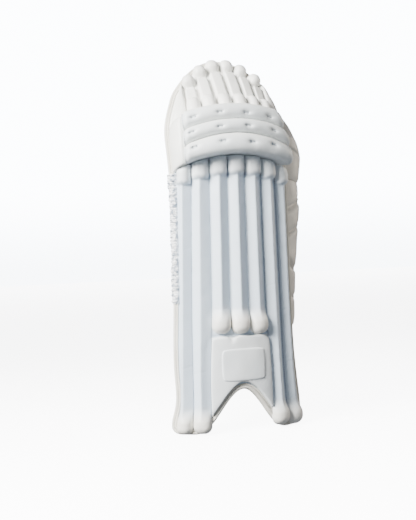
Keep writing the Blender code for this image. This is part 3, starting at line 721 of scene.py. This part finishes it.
def roll_place(row, f, g, up=True):
    """Point on a knee roll's skin, f along it and g round its section."""
    share, bulge = through(ROLL_SECTION, g)
    left = ROLL_LEFT * CANE_HALF_WIDTH
    right = lerp(row[5], row[6], share) * CANE_HALF_WIDTH
    u = lerp(left, right, f)
    low = roll_edge(row, u, False) + FIT_GAP
    high = roll_edge(row, u, True) - FIT_GAP
    end = superround((f - 0.88) / 0.12, 2.4)
    start = 1.0 - 0.20 * bell(u - left, 0.0045)
    s = lerp((low + high) / 2.0, lerp(low, high, share), lerp(0.70, 1.0, end) * lerp(1.0, start, 0.3))
    if not up:
        return surface(u, s, SEAT_GAP)
    h = ROLL_DEPTH * lerp(0.62, 1.0, end) * start + bulge * ROLL_BULGE * lerp(0.55, 1.0, end)
    for column, height in TUFT_ROWS[row[0]]:
        du = u - column * CANE_HALF_WIDTH
        ds = (share - height) * (high - low)
        h -= dent(TUFT_PINCH, du, ds) + dent(TUFT_FOLD, du, ds - 0.0004)
        h -= dent(TUFT_HOLE, du - TUFT_SPREAD, ds) + dent(TUFT_HOLE, du + TUFT_SPREAD, ds)
    return surface(u, s, h + ripple(u, s, 0.022, 0.0007))


def knee_roll(row):
    # Painted light: each roll is tinted cream over its upper part, lit from above, and bluish lower down,
    # in shade.
    bm = stuffed(190, 72, lambda f, g, up: roll_place(row, f, g, up),
                 lambda f, g: 0.2 + 0.6 * smooth((g - 0.55) / 0.3))
    make_piece(f"{row[0]}_cover", bm, "knee_leather", [row[0]])


def knee_side_panel():
    """The cushion at the rolls' left end, sewn to them and rounded over towards the binding."""
    inner = ROLL_LEFT * CANE_HALF_WIDTH - FIT_GAP

    def place(f, g, up):
        low_u = lerp(shell_left(KNEE_BASE) + TAPE_FLAP + TAPE_GROOVE, inner, f)
        low = roll_edge(ROLL_ROWS[0], low_u, False) + FIT_GAP
        high = roll_edge(ROLL_ROWS[2], low_u, True) - FIT_GAP
        s = lerp(low, high, g)
        u = lerp(shell_left(s) + TAPE_FLAP + TAPE_GROOVE, inner, f)
        if not up:
            return surface(u, s, SEAT_GAP)
        slope = lerp(0.26, 1.0, math.sin(f * math.pi / 2.0))
        border = lerp(0.40, 1.0, swell(g, 6.0))
        edges = lerp(0.45, 1.0, superround(1.0 - f, 6.0)) * (1.0 - 0.16 * bell(1.0 - f, 0.10))
        return surface(u, s, (SIDE_PANEL_HEIGHT + ripple(u, s, 0.020, 0.0010)) * slope * border * edges)

    # Painted light: the cushion takes mostly the cream lit tint.
    bm = stuffed(30, 64, place, 0.8)
    make_piece("knee_side_cushion", bm, "knee_leather", ["knee_side_panel"])


def top_seam(index, share):
    low, high = TOP_SEAM_ROWS[index]
    return lerp(low, high, share) * TOP_CANE_HALF_WIDTH


def top_floor(u):
    """Where the top hat's pieces start, just over the highest knee roll."""
    return roll_edge(ROLL_ROWS[2], u, True) + SEAT_GAP


def top_cane(number):
    """A short cane: a round knob under the crown, a flat-topped shaft, and a bulge at the roll."""
    seams = (number - 1, number)
    low_u = sum(top_seam(i, 0.0) for i in seams) / 2.0
    high_u = sum(top_seam(i, 1.0) for i in seams) / 2.0
    foot = max(top_floor(u) for u in (top_seam(number - 1, 0.0), low_u, top_seam(number, 0.0)))
    head = dome(high_u) - TOP_CANE_MARGIN
    knob_s, knob_reach = head - KNOB_LENGTH / 2.0, KNOB_LENGTH / 2.0
    bulge_top = foot + BULGE_LENGTH

    def width(s):
        knob = superround(0.97 * abs(s - knob_s) / knob_reach, 2.5)
        groove = bell(s - knob_s + knob_reach, 0.0050)
        waist = 0.86 - 0.20 * groove if s < knob_s else 0.0
        bulge = superround((s - bulge_top + 0.014) / 0.015, 2.2)
        return max(knob, waist, bulge, 0.25)

    def rise(x, s):
        across = abs(x) * width(s)
        shaft = 0.58 * TOP_CANE_HEIGHT * min(1.0, 3.6 * (1.0 - abs(x))) if s < knob_s else 0.0
        shaft *= 1.0 - 0.65 * bell(s - knob_s + knob_reach + 0.0010, 0.0032)
        shaft = smooth_max(shaft, 0.0, 0.0008)
        knob = 1.25 * TOP_CANE_HEIGHT * knoll(across, abs(s - knob_s) / knob_reach, 2.5, 2.3)
        above = max(0.0, s - bulge_top + 0.018) / 0.018
        bulge = 1.50 * TOP_CANE_HEIGHT * knoll(across, above, 2.4, 2.3)
        h = smooth_max(smooth_max(shaft, bulge, 0.0006), knob, 0.0006)
        return SEAT_GAP + h * seam_drop(x)

    def place(f, g, up):
        x, s = 2.0 * f - 1.0, lerp(foot, head, g)
        share = (s - foot) / (head - foot)
        left, right = (top_seam(i, share) for i in seams)
        u = (left + right) / 2.0 + x * ((right - left) / 2.0 - FIT_GAP) * width(s)
        h = rise(x, s) + ripple(u, s, 0.014, 0.0005) * seam_drop(x) if up else SEAT_GAP * 0.5
        return surface(u, s, h)

    # Painted light: the top canes, leaning back towards the light, take the cream lit tint almost fully.
    bm = stuffed(24, 84, place, 0.9)
    make_piece(f"top_cane_cover_{number}", bm, "knee_leather", [f"top_cane_{number}"])


def top_side_panel(name, side):
    """The plain cushion beside the fan of top canes; side is -1 on the left, 1 on the right."""
    index = 0 if side < 0 else len(TOP_SEAM_ROWS) - 1

    def edge_u(s):
        return (shell_left(s) if side < 0 else shell_right(s)) - side * (TAPE_FLAP + TAPE_GROOVE)

    def place(f, g, up):
        start = top_floor(lerp(top_seam(index, 0.0), edge_u(KNEE_BASE + KNEE_LENGTH), f))
        low_u = lerp(top_seam(index, 0.0) + side * FIT_GAP, edge_u(start), f)
        high_u = lerp(top_seam(index, 1.0) + side * FIT_GAP, 0.86 * edge_u(SHOULDER * CROWN), f)
        end = dome(high_u) - TOP_CANE_MARGIN
        u, s = lerp(low_u, high_u, g), lerp(start, end, g)
        full = swell(f, 3.2) * swell(g, 4.0)
        rise = TOP_PANEL_HEIGHT * lerp(0.12, 1.0, full) + ripple(u, s, 0.02, 0.0006) * full
        return surface(u, s, SEAT_GAP + rise if up else SEAT_GAP * 0.5)

    # Painted light: the side panels of the top hat, leaning back towards the light, take the cream lit tint
    # almost fully.
    bm = stuffed(28, 60, place, 0.9)
    make_piece(f"{name}_cushion", bm, "knee_leather", [name])


def panel_height(u, s):
    """Front of the instep panel over the shell: flat, with rounded borders."""
    left, right = seam(2, s) + FIT_GAP, seam(5, s) - FIT_GAP
    low = arch(u) + INSTEP_MARGIN
    f, g = clamp((u - left) / (right - left)), clamp((s - low) / (INSTEP_TOP - low))
    full = lerp(0.14, 1.0, swell(f, 9.0) * swell(g, 8.0))
    return SEAT_GAP + (INSTEP_HEIGHT + ripple(u, s, 0.028, 0.0008)) * full


def instep_panel():
    """The padded panel over the arch, nicked at its top edge where a cane seam ends."""
    def place(f, g, up):
        foot_left, foot_right = seam(2, INSTEP_FOOT), seam(5, INSTEP_FOOT)
        left = seam(2, lerp(arch(foot_left) + INSTEP_MARGIN, INSTEP_TOP, g)) + FIT_GAP
        right = seam(5, lerp(arch(foot_right) + INSTEP_MARGIN, INSTEP_TOP, g)) - FIT_GAP
        u = lerp(left, right, f)
        low = arch(lerp(foot_left, foot_right, f)) + INSTEP_MARGIN
        s = lerp(low, INSTEP_TOP, g)
        if not up:
            return surface(u, s, SEAT_GAP * 0.5)
        near_top = smooth((g - 0.84) / 0.16)
        dip = bell(u - seam(3, INSTEP_TOP), 0.0060) * near_top
        wave = math.cos(2.0 * math.pi * (u - seam(3, INSTEP_TOP)) / (0.30 * CANE_HALF_WIDTH))
        crown = near_top * (0.0014 * swell(f, 3.0) - 0.0006 * wave)
        corner = 0.0065 * clamp((f - 0.88) / 0.12) ** 2 + 0.0020 * clamp((0.04 - f) / 0.04) ** 2
        s_up = s - 0.0034 * dip + crown - corner * near_top
        return surface(u, s_up, panel_height(u, s) - 0.0020 * dip)

    # Painted light: the instep panel takes the cream lit tint about halfway, the rest bluish shade tint.
    bm = stuffed(84, 60, place, 0.55)
    make_piece("instep_cushion", bm, "shin_leather", ["instep_panel"])


def badge_plate():
    """A bare plate with rounded corners, raised under the leather of the instep panel."""
    def place(f, g, up):
        x, y = 2.0 * f - 1.0, 2.0 * g - 1.0
        corner = 1.0 - 0.09 * (abs(x) * abs(y)) ** 4
        u, s = 0.5 * PLATE_WIDTH * x * corner, PLATE_CENTRE + 0.5 * PLATE_HEIGHT * y * corner
        edge = superround(max(abs(x), abs(y)), 9.0)
        return surface(u, s, panel_height(u, s) + (PLATE_RISE * edge if up else -0.0008))

    # Painted light: the plate's leather takes the cream lit tint halfway, the rest bluish shade tint.
    bm = stuffed(44, 32, place, 0.5)
    make_piece("badge_plate_cover", bm, "shin_leather", ["badge_plate"])


# Each wing's rows, foot and top
WINGS = {
    "calf": (CALF_WING_ROWS, CALF_WING_BASE, CALF_WING_TOP),
    "knee": (KNEE_WING_ROWS, CALF_WING_TOP + 4.0 * SEAT_GAP, KNEE_WING_TOP),
}


def wing_fold(kind, f, g, length):
    """Depth of the folds at a place on a wing."""
    depth = 0.0
    here = Vector((f * WING_SPREAD, g * length))
    for start, end, deep in WING_FOLDS[kind]:
        a = Vector((start[0] * WING_SPREAD, start[1] * length))
        b = Vector((end[0] * WING_SPREAD, end[1] * length))
        share = clamp((here - a).dot(b - a) / (b - a).length_squared)
        off = (here - a.lerp(b, share)).length
        depth += deep * (bell(off, FOLD_HALF_WIDTH) + 0.7 * bell(off, 0.0020))
    return depth


def wing_point(kind, f, g, up):
    """A wing runs from behind the shell's right edge out round the leg."""
    rows, base, top = WINGS[kind]
    s = lerp(base, top, g)
    lift = lerp(*WING_MEETING, f)
    if kind == "calf":
        s += (lift + 1.8 * SEAT_GAP) * g ** 4
    else:
        s += (lift - 1.8 * SEAT_GAP) * (1.0 - g) ** 4
    reach = read_rows(rows, g, 1)
    for _, end, deep in WING_FOLDS[kind]:
        if end[0] > 0.9:
            reach -= 4.0 * deep * bell(g - end[1], 0.022)
    end = max(WING_ROOT_ANGLE + 8.0, reach * WING_REACH)
    angle = lerp(WING_ROOT_ANGLE, end, f)
    rim_angle = math.degrees((shell_right(s) + BINDING_THICKNESS) / SHIN_RADIUS) + 2.0
    free = read_rows(rows, g, 2) * SHELL_WALL
    span = max(1.0, min(0.8 * WING_REACH, end) - rim_angle)
    h = lerp(-SHELL_WALL - SEAT_GAP, free, smooth((angle - rim_angle) / span))
    round_off = swell(f, 5.0) * swell(g, 7.0)
    wall = WING_WALL * lerp(0.35, 1.0, round_off)
    u = math.radians(angle) * SHIN_RADIUS
    if not up:
        return surface(u, s, h - wall + 0.2 * wing_fold(kind, f, g, top - base))
    sink = wing_fold(kind, f, g, top - base) * smooth((angle - rim_angle) / 4.0)
    return surface(u, s, h - sink - 0.30 * WING_WALL * (1.0 - round_off) + ripple(u, s, 0.03, 0.0014))


def wing(kind):
    # Painted light: the wings, turned away from the key light, lean to the bluish shade tint.
    bm = stuffed(60, 180, lambda f, g, up: wing_point(kind, f, g, up), 0.4)
    make_piece(f"{kind}_wing_cushion", bm, "wing_leather", [f"{kind}_wing"])


# Section of the gathered strip over the binding: out past the shell, out from its front face
STRIP_SKIN = (
    (0.0046, -0.0060), (0.0058, -0.0030), (0.0052, 0.0016), (0.0016, 0.0042),
    (-0.0030, 0.0050), (-0.0066, 0.0044), (-0.0088, 0.0008),
)


def ruffled_strip():
    """A strip of mesh gathered on its elastic, so that it rucks up along its whole length."""
    def place(f, g, up):
        s = lerp(STRIP_BASE, STRIP_TOP, g)
        out, h = through(STRIP_SKIN, f)
        width = (seam(0, s) - FIT_GAP - shell_left(s)) / 0.0088
        if out < 0.0:
            out *= width
        u = shell_left(s) - out
        if not up:
            return surface(u + 0.0008, s, min(h, SEAT_GAP * 0.5))
        coarse = noise.noise(Vector((f * 1.9, s * 300.0, 2.3)))
        fine = noise.noise(Vector((f * 5.0, s * 720.0, 5.0)))
        ruck = (coarse + 0.7 * fine) * math.sin(math.pi * f) ** 0.5
        return surface(u - 0.0016 * ruck * (1.0 - f), s, h + 0.0030 * ruck)

    bm = stuffed(16, 320, place)
    make_piece("ruffled_mesh_strip", bm, "mesh", ["ruffled_strip"])


def edge_wall(u, s):
    """Thickness of the shell at its edge: thinned all round, except where the wings are sewn on."""
    beside = smooth((u - WING_SEAT) / 0.020)
    along = smooth((s - CALF_WING_BASE) / WALL_BLEND + 1.0) * smooth((KNEE_WING_TOP - s) / WALL_BLEND + 1.0)
    return lerp(EDGE_WALL, SHELL_WALL, beside * along)


def shell_cover():
    """The leather front of the padded shell."""
    def place(f, g, up):
        return surface(*shell_place(f, g), 0.0 if up else -LEATHER_DEPTH)

    # Painted light: the top of the shell, leaning back to face the light, is tinted cream; below it the
    # bluish shade tint.
    bm = stuffed(64, 120, place, lambda f, g: 0.9 * smooth((g - 0.70) / 0.1))
    make_piece("shell_leather_front", bm, "shin_leather", ())


def shell_lining():
    """The cotton inner face, drawn in where the seams of the canes pass through the padding."""
    points = outline(OUTLINE_STEPS)
    edge = kdtree.KDTree(len(points))
    for i, (u, s) in enumerate(points):
        edge.insert((u, s, 0.0), i)
    edge.balance()

    def place(f, g, up):
        u, s = shell_place(f, g)
        if up:
            return surface(u, s, -LEATHER_DEPTH - FIT_GAP)
        inside = max(0.0, edge.find((u, s, 0.0))[2] - TAPE_FLAP)
        soft = clamp(inside / EDGE_TAPER)
        wall = lerp(edge_wall(u, s), SHELL_WALL, superround(1.0 - soft, 2.2))
        seams = sum(bell(u - seam(i, min(s, KNEE_BASE)), QUILT_HALF_WIDTH) for i in range(1, 7))
        return surface(u, s, -wall + (QUILT_DEPTH * seams + ripple(u, s, 0.03, 0.0010)) * soft)

    bm = stuffed(160, 120, place)
    make_piece("shell_cotton_lining", bm, "lining", ["backing"])


def smooth_outline():
    """The shell's edge with its corners rounded, and the outward direction at each point."""
    points = [Vector(point) for point in outline(OUTLINE_STEPS)]
    for _ in range(6):
        points = [(points[i - 1] + 2.0 * here + points[(i + 1) % len(points)]) / 4.0
                  for i, here in enumerate(points)]
    aways = []
    for i in range(len(points)):
        along = (points[(i + 1) % len(points)] - points[i - 1]).normalized()
        aways.append(Vector((along.y, -along.x)))
    return points, aways


# Section of the binding, folded over the edge: out past the shell, out from its front face, and
# how far down its wall, as a share. The needle line sinks between two ridges.
TAPE_SECTION = (
    (-0.0066, 0.0001, 0.0), (-0.0064, 0.0013, 0.0), (-0.0052, 0.0021, 0.0),
    (-0.0040, 0.0020, 0.0), (-0.0028, 0.0010, 0.0), (-0.0014, 0.0021, 0.0),
    (0.0008, 0.0024, 0.0), (0.0028, 0.0010, 0.02), (0.0039, 0.0, 0.20),
    (0.0040, 0.0, 0.50), (0.0039, 0.0, 0.84), (0.0030, -0.0004, 1.0),
    (0.0004, -0.0014, 1.0), (-0.0058, -0.0012, 1.0), (-0.0062, -0.0002, 1.0),
)


def edge_tape():
    """Woven tape folded over the shell's edge all round and sewn through."""
    points, aways = smooth_outline()
    count = len(points)
    bm = bmesh.new()
    bmesh.ops.create_grid(bm, x_segments=count, y_segments=34, size=0.5)
    weave = bm.loops.layers.uv.new("weave")
    length = sum((points[i] - points[i - 1]).length for i in range(count))
    for face in bm.faces:
        for loop in face.loops:
            loop[weave].uv = ((loop.vert.co.x + 0.5) * length, (loop.vert.co.y + 0.5) * TAPE_WIDTH)
    for vert in bm.verts:
        i = round((vert.co.x + 0.5) * count) % count
        out, h, down = through(TAPE_SECTION, vert.co.y + 0.5)
        pucker = 1.0 + 0.16 * noise.noise(Vector((i * 0.9, vert.co.y * 3.0, 4.0)))
        u, s = points[i] + aways[i] * out
        vert.co = surface(u, s, h * pucker - down * edge_wall(*points[i]))
    bmesh.ops.remove_doubles(bm, verts=bm.verts, dist=0.00005)
    bmesh.ops.recalc_face_normals(bm, faces=bm.faces)
    bmesh.ops.solidify(bm, geom=bm.faces[:], thickness=TAPE_THICKNESS)
    make_piece("edge_binding_tape", bm, "binding", ["edge_binding"])


def plan_point(angle, radius):
    turn = math.radians(angle)
    return Vector((radius * math.sin(turn), -radius * math.cos(turn)))


def strap_line(height, loop, right_angle, holder):
    """Plan of a strap from its tab on the left, behind the leg, to its tab on the right."""
    seat = SEAT_GAP + STRAP_THICKNESS / 2.0

    lining_radius = SHIN_RADIUS - SHELL_WALL - seat - SEAT_GAP

    def right_radius(angle):
        if holder == "shell":
            return lining_radius
        rows, base, top = WINGS[holder]
        radii = []
        for i in range(-2, 3):
            share = (height + 0.26 * i * STRAP_WIDTH - base) / (top - base)
            end = read_rows(rows, share, 1) * WING_REACH
            face = wing_point(holder, (angle - WING_ROOT_ANGLE) / (end - WING_ROOT_ANGLE), share, False)
            radii.append(math.hypot(face.x, face.y))
        return min(radii) - seat

    def tab(start, turn, radius):
        angles = [start + turn * STRAP_TAB * i / 2.0 for i in range(3)]
        return [plan_point(angle, radius(angle)) for angle in angles]

    left = tab(STRAP_LEFT_ANGLE, -1.0, lambda angle: lining_radius)
    right = tab(right_angle - STRAP_TAB, 1.0, right_radius)
    points = [Vector(point) * loop * SHIN_RADIUS for point in LOOP_POINTS]
    if holder == "shell":
        points += [Vector((-x, y)) * loop * SHIN_RADIUS for x, y in reversed(LOOP_POINTS[:2])]
    points = [left[-1]] + points + [right[-1]]
    count = 8 * (len(points) - 1)
    return left[:-1] + [through(points, i / count) for i in range(count + 1)] + right[-2::-1]


def strap(name, height, loop, right_angle, holder):
    """A flat woven band with slightly thinner selvedges."""
    line = strap_line(height, loop, right_angle, holder)
    count = len(line) - 1
    length = sum((line[i + 1] - line[i]).length for i in range(count))

    def place(f, g, up):
        i = round(f * count)
        along = (line[min(i + 1, count)] - line[max(i - 1, 0)]).normalized()
        thick = STRAP_THICKNESS * lerp(0.55, 1.0, swell(g, 6.0))
        side = 1.0 if up else -1.0
        flat = line[i] + Vector((along.y, -along.x)) * side * thick / 2.0
        return Vector((flat.x, flat.y, height + (g - 0.5) * STRAP_WIDTH))

    bm = stuffed(count, 12, place, cloth=(length, STRAP_WIDTH))
    make_piece(f"{name}_webbing", bm, "webbing", [name])


def spaced(run, pitch):
    """Places a pitch apart along a run of points, each with the run's direction there."""
    left_over = pitch / 2.0
    for start, end in zip(run, run[1:]):
        step = end - start
        travelled = left_over
        while travelled < step.length:
            yield start + step.normalized() * travelled, step.normalized()
            travelled += pitch
        left_over = travelled - step.length


def stitches(name, runs, thread, slot, pitch=STITCH_PITCH, length=STITCH, width=THREAD):
    """Stitches along runs of points, joined in one mesh."""
    whole = bmesh.new()
    for run in runs:
        part = bmesh.new()
        for at, along in spaced(run, pitch):
            turn = along.to_track_quat("Z", "Y")
            size = Vector((width, width, length)) / 2.0
            bmesh.ops.create_icosphere(part, subdivisions=1, radius=1.0,
                                       matrix=Matrix.LocRotScale(at, turn, size))
        mesh = mesh_of("run", part)
        whole.from_mesh(mesh)
        bpy.data.meshes.remove(mesh)
    make_piece(name, whole, slot, finish=thread)


# Where the stitching of each seam between shin canes starts
SEAM_FEET = ((1, 0.010), (2, 0.030), (3, 0.186), (4, 0.186), (5, 0.060), (6, 0.012))


def all_stitches():
    def seam_run(index, foot):
        heights = [lerp(foot, cane_top(index) - 0.002, i / 60.0) for i in range(61)]
        return [surface(seam(index, s), s, SEAM_STITCH_HEIGHT) for s in heights]

    stitches("shin_seam_stitches", [seam_run(index, foot) for index, foot in SEAM_FEET],
             SEAM_THREAD, "shin_leather")
    ledge = [surface(lerp(seam(2, INSTEP_TOP), seam(5, INSTEP_TOP), i / 30.0), INSTEP_TOP + 0.0044, 0.0010)
             for i in range(31)]
    stitches("panel_top_stitches", [ledge], SEAM_THREAD, "shin_leather", width=0.0012)
    side = [[roll_place(row, 0.006, g / 20.0) + Vector((0.0, -0.0006, 0.0)) for g in range(3, 17)]
            for row in ROLL_ROWS]
    stitches("knee_side_stitches", side, SEAM_THREAD, "knee_leather")
    tufts = []
    for row in ROLL_ROWS:
        left = ROLL_LEFT * CANE_HALF_WIDTH
        for column, height in TUFT_ROWS[row[0]]:
            g = section_share(height)
            right = lerp(row[5], row[6], height) * CANE_HALF_WIDTH
            for shift in (-TUFT_SPREAD, TUFT_SPREAD):
                f = (column * CANE_HALF_WIDTH + shift - left) / (right - left)
                tufts.append([roll_place(row, f, g - 0.03), roll_place(row, f, g + 0.03)])
    stitches("tuft_stitches", tufts, SEAM_THREAD, "knee_leather", pitch=0.0026, length=0.0024, width=0.0013)
    points, aways = smooth_outline()
    closed = list(zip(points, aways)) + [(points[0], aways[0])]
    front = [surface(*(point + away * -0.0028), 0.0016) for point, away in closed]
    back = [surface(*(point + away * -0.0048), -edge_wall(*point) - 0.0013) for point, away in closed]
    stitches("binding_stitches", [front, back], PALE_THREAD, "binding", width=0.0009)


def camera():
    """The photograph's view: from the left front, nearly level, turned a little on its axis."""
    azimuth, roll = math.radians(CAMERA_AZIMUTH), math.radians(CAMERA_ROLL)
    ahead = Vector((-math.sin(azimuth), math.cos(azimuth), 0.0))
    level, up = Vector((ahead.y, -ahead.x, 0.0)), Vector((0.0, 0.0, 1.0))
    right = level * math.cos(roll) - up * math.sin(roll)
    above = level * math.sin(roll) + up * math.cos(roll)
    eye = Vector((0.0, 0.0, CAMERA_HEIGHT)) - ahead * CAMERA_DISTANCE
    turn = Matrix((right, above, -ahead)).transposed().to_4x4()
    data = bpy.data.cameras.new("camera")
    data.sensor_width = SENSOR_WIDTH
    data.sensor_fit = "HORIZONTAL"
    data.lens = FOCAL_PIXELS / PHOTO_WIDTH * SENSOR_WIDTH
    view = put_in_scene("camera", data)
    view.matrix_world = PAD_TO_ROW @ Matrix.Translation(eye) @ turn
    bpy.context.scene.camera = view


# Both lamps: metres
LIGHT_DISTANCE = 2.2
LIGHT_SIZE = 1.2
LIGHT_TARGET = (0.0, -0.05, 0.36)
# Name, azimuth from the pad's front and height over the floor in degrees, watts, colour: the key
# light rakes over the canes, and the weak one on the right reaches the wings and the last cane
LIGHT_ROWS = (
    ("key_light", -64.0, 27.0, 262.0, "#FFFDF8"),
    ("side_light", 96.0, 14.0, 24.0, "#FFF0DA"),
)
# Strength of the studio's dim walls, and of the lit white wall behind the pad
WALL_STRENGTH = 0.30
BACKDROP_STRENGTH = 14.5
COVE_STRENGTH = 9.5
# Degrees from the middle of the lit wall to the ends of its full strength and of its fall
BACKDROP_SPREAD = (18.5, 24.0)
# How far the lit wall's middle is raised, and between which heights it passes into the cove
BACKDROP_RISE = 0.13
COVE_HEIGHTS = (-0.04, 0.07)
# The floor's painted glow, dimmed behind the pad as painted shade, and where along the floor it is reached:
# in front, behind the pad, far edge
PAINTED_FLOOR_GLOW = (10.5, 6.3, 8.6)
TABLE_PLACES = (-0.9, 1.3, 6.0)


def soft_light(name, azimuth, elevation, power, colour):
    """A large soft disk of light that looks at the pad."""
    azimuth, elevation = math.radians(azimuth), math.radians(elevation)
    level = Vector((math.sin(azimuth), -math.cos(azimuth), 0.0)) * math.cos(elevation)
    towards = level + Vector((0.0, 0.0, math.sin(elevation)))
    data = bpy.data.lights.new(name, "AREA")
    data.shape = "DISK"
    data.size = LIGHT_SIZE
    data.energy = power
    data.color = paint(colour)[:3]
    light = put_in_scene(name, data)
    light.location = Vector(LIGHT_TARGET) + towards * LIGHT_DISTANCE
    light.rotation_euler = towards.to_track_quat("Z", "Y").to_euler()


def studio_walls():
    """Dim walls all round, and a lit white wall behind the pad as the photograph looks at it."""
    azimuth = math.radians(CAMERA_AZIMUTH)
    behind = Vector((-math.sin(azimuth), math.cos(azimuth), BACKDROP_RISE)).normalized()
    world = bpy.data.worlds.new("studio")
    world.use_nodes = True
    tree = world.node_tree
    direction = add_node(tree, "ShaderNodeTexCoord").outputs["Generated"]
    along = add_node(tree, "ShaderNodeVectorMath", {0: direction, 1: behind}, operation="DOT_PRODUCT")
    edge, core = (math.cos(math.radians(angle)) for angle in reversed(BACKDROP_SPREAD))
    height = add_node(tree, "ShaderNodeSeparateXYZ", {0: direction}).outputs["Z"]
    cove = run(tree, height, *COVE_HEIGHTS, COVE_STRENGTH, BACKDROP_STRENGTH)
    glow = run(tree, along.outputs["Value"], edge, core, WALL_STRENGTH, cove)
    background = tree.nodes["Background"]
    background.inputs["Color"].default_value = paint("#F1F7FE")
    tree.links.new(glow, background.inputs["Strength"])
    bpy.context.scene.world = world


def floor():
    """A pale floor that glows by itself as painted light, dimmer just behind the pad as painted shade; it
    throws no light back on the pad.
    """
    bm = bmesh.new()
    bmesh.ops.create_grid(bm, x_segments=1, y_segments=1, size=TABLE_PLACES[-1])
    mesh = mesh_of("studio_floor", bm)
    made, tree, shader = new_material("glowing_floor_painted_light", 0.8)
    place = object_place(tree)
    depth = add_node(tree, "ShaderNodeSeparateXYZ", {0: place}).outputs["Y"]
    front, middle, far = PAINTED_FLOOR_GLOW
    start, turn, end = TABLE_PLACES
    near = run(tree, depth, start, turn, front, middle)
    away = run(tree, depth, turn, end, 0.0, far - middle)
    tree.links.new(maths(tree, "ADD", near, away), shader.inputs["Emission Strength"])
    mottle = add_node(tree, "ShaderNodeTexNoise", {"Vector": place, "Scale": 1.5}).outputs["Fac"]
    dress(tree, shader, tint(tree, "#C4C5C6", "#C9C9C9", mottle))
    shader.inputs["Emission Color"].default_value = paint("#FDFDFE")
    mesh.materials.append(made)
    ground = put_in_scene("studio_floor", mesh)
    ground.visible_diffuse = False
    ground.visible_glossy = False


def main():
    camera()
    for row in LIGHT_ROWS:
        soft_light(*row)
    studio_walls()
    floor()
    shell_cover()
    shell_lining()
    edge_tape()
    for number in range(1, 8):
        shin_cane(number)
    for row in ROLL_ROWS:
        knee_roll(row)
    knee_side_panel()
    for number in range(1, 7):
        top_cane(number)
    top_side_panel("top_side_panel_left", -1)
    top_side_panel("top_side_panel_right", 1)
    instep_panel()
    badge_plate()
    wing("calf")
    wing("knee")
    ruffled_strip()
    for row in STRAP_ROWS:
        strap(*row)
    all_stitches()


main()
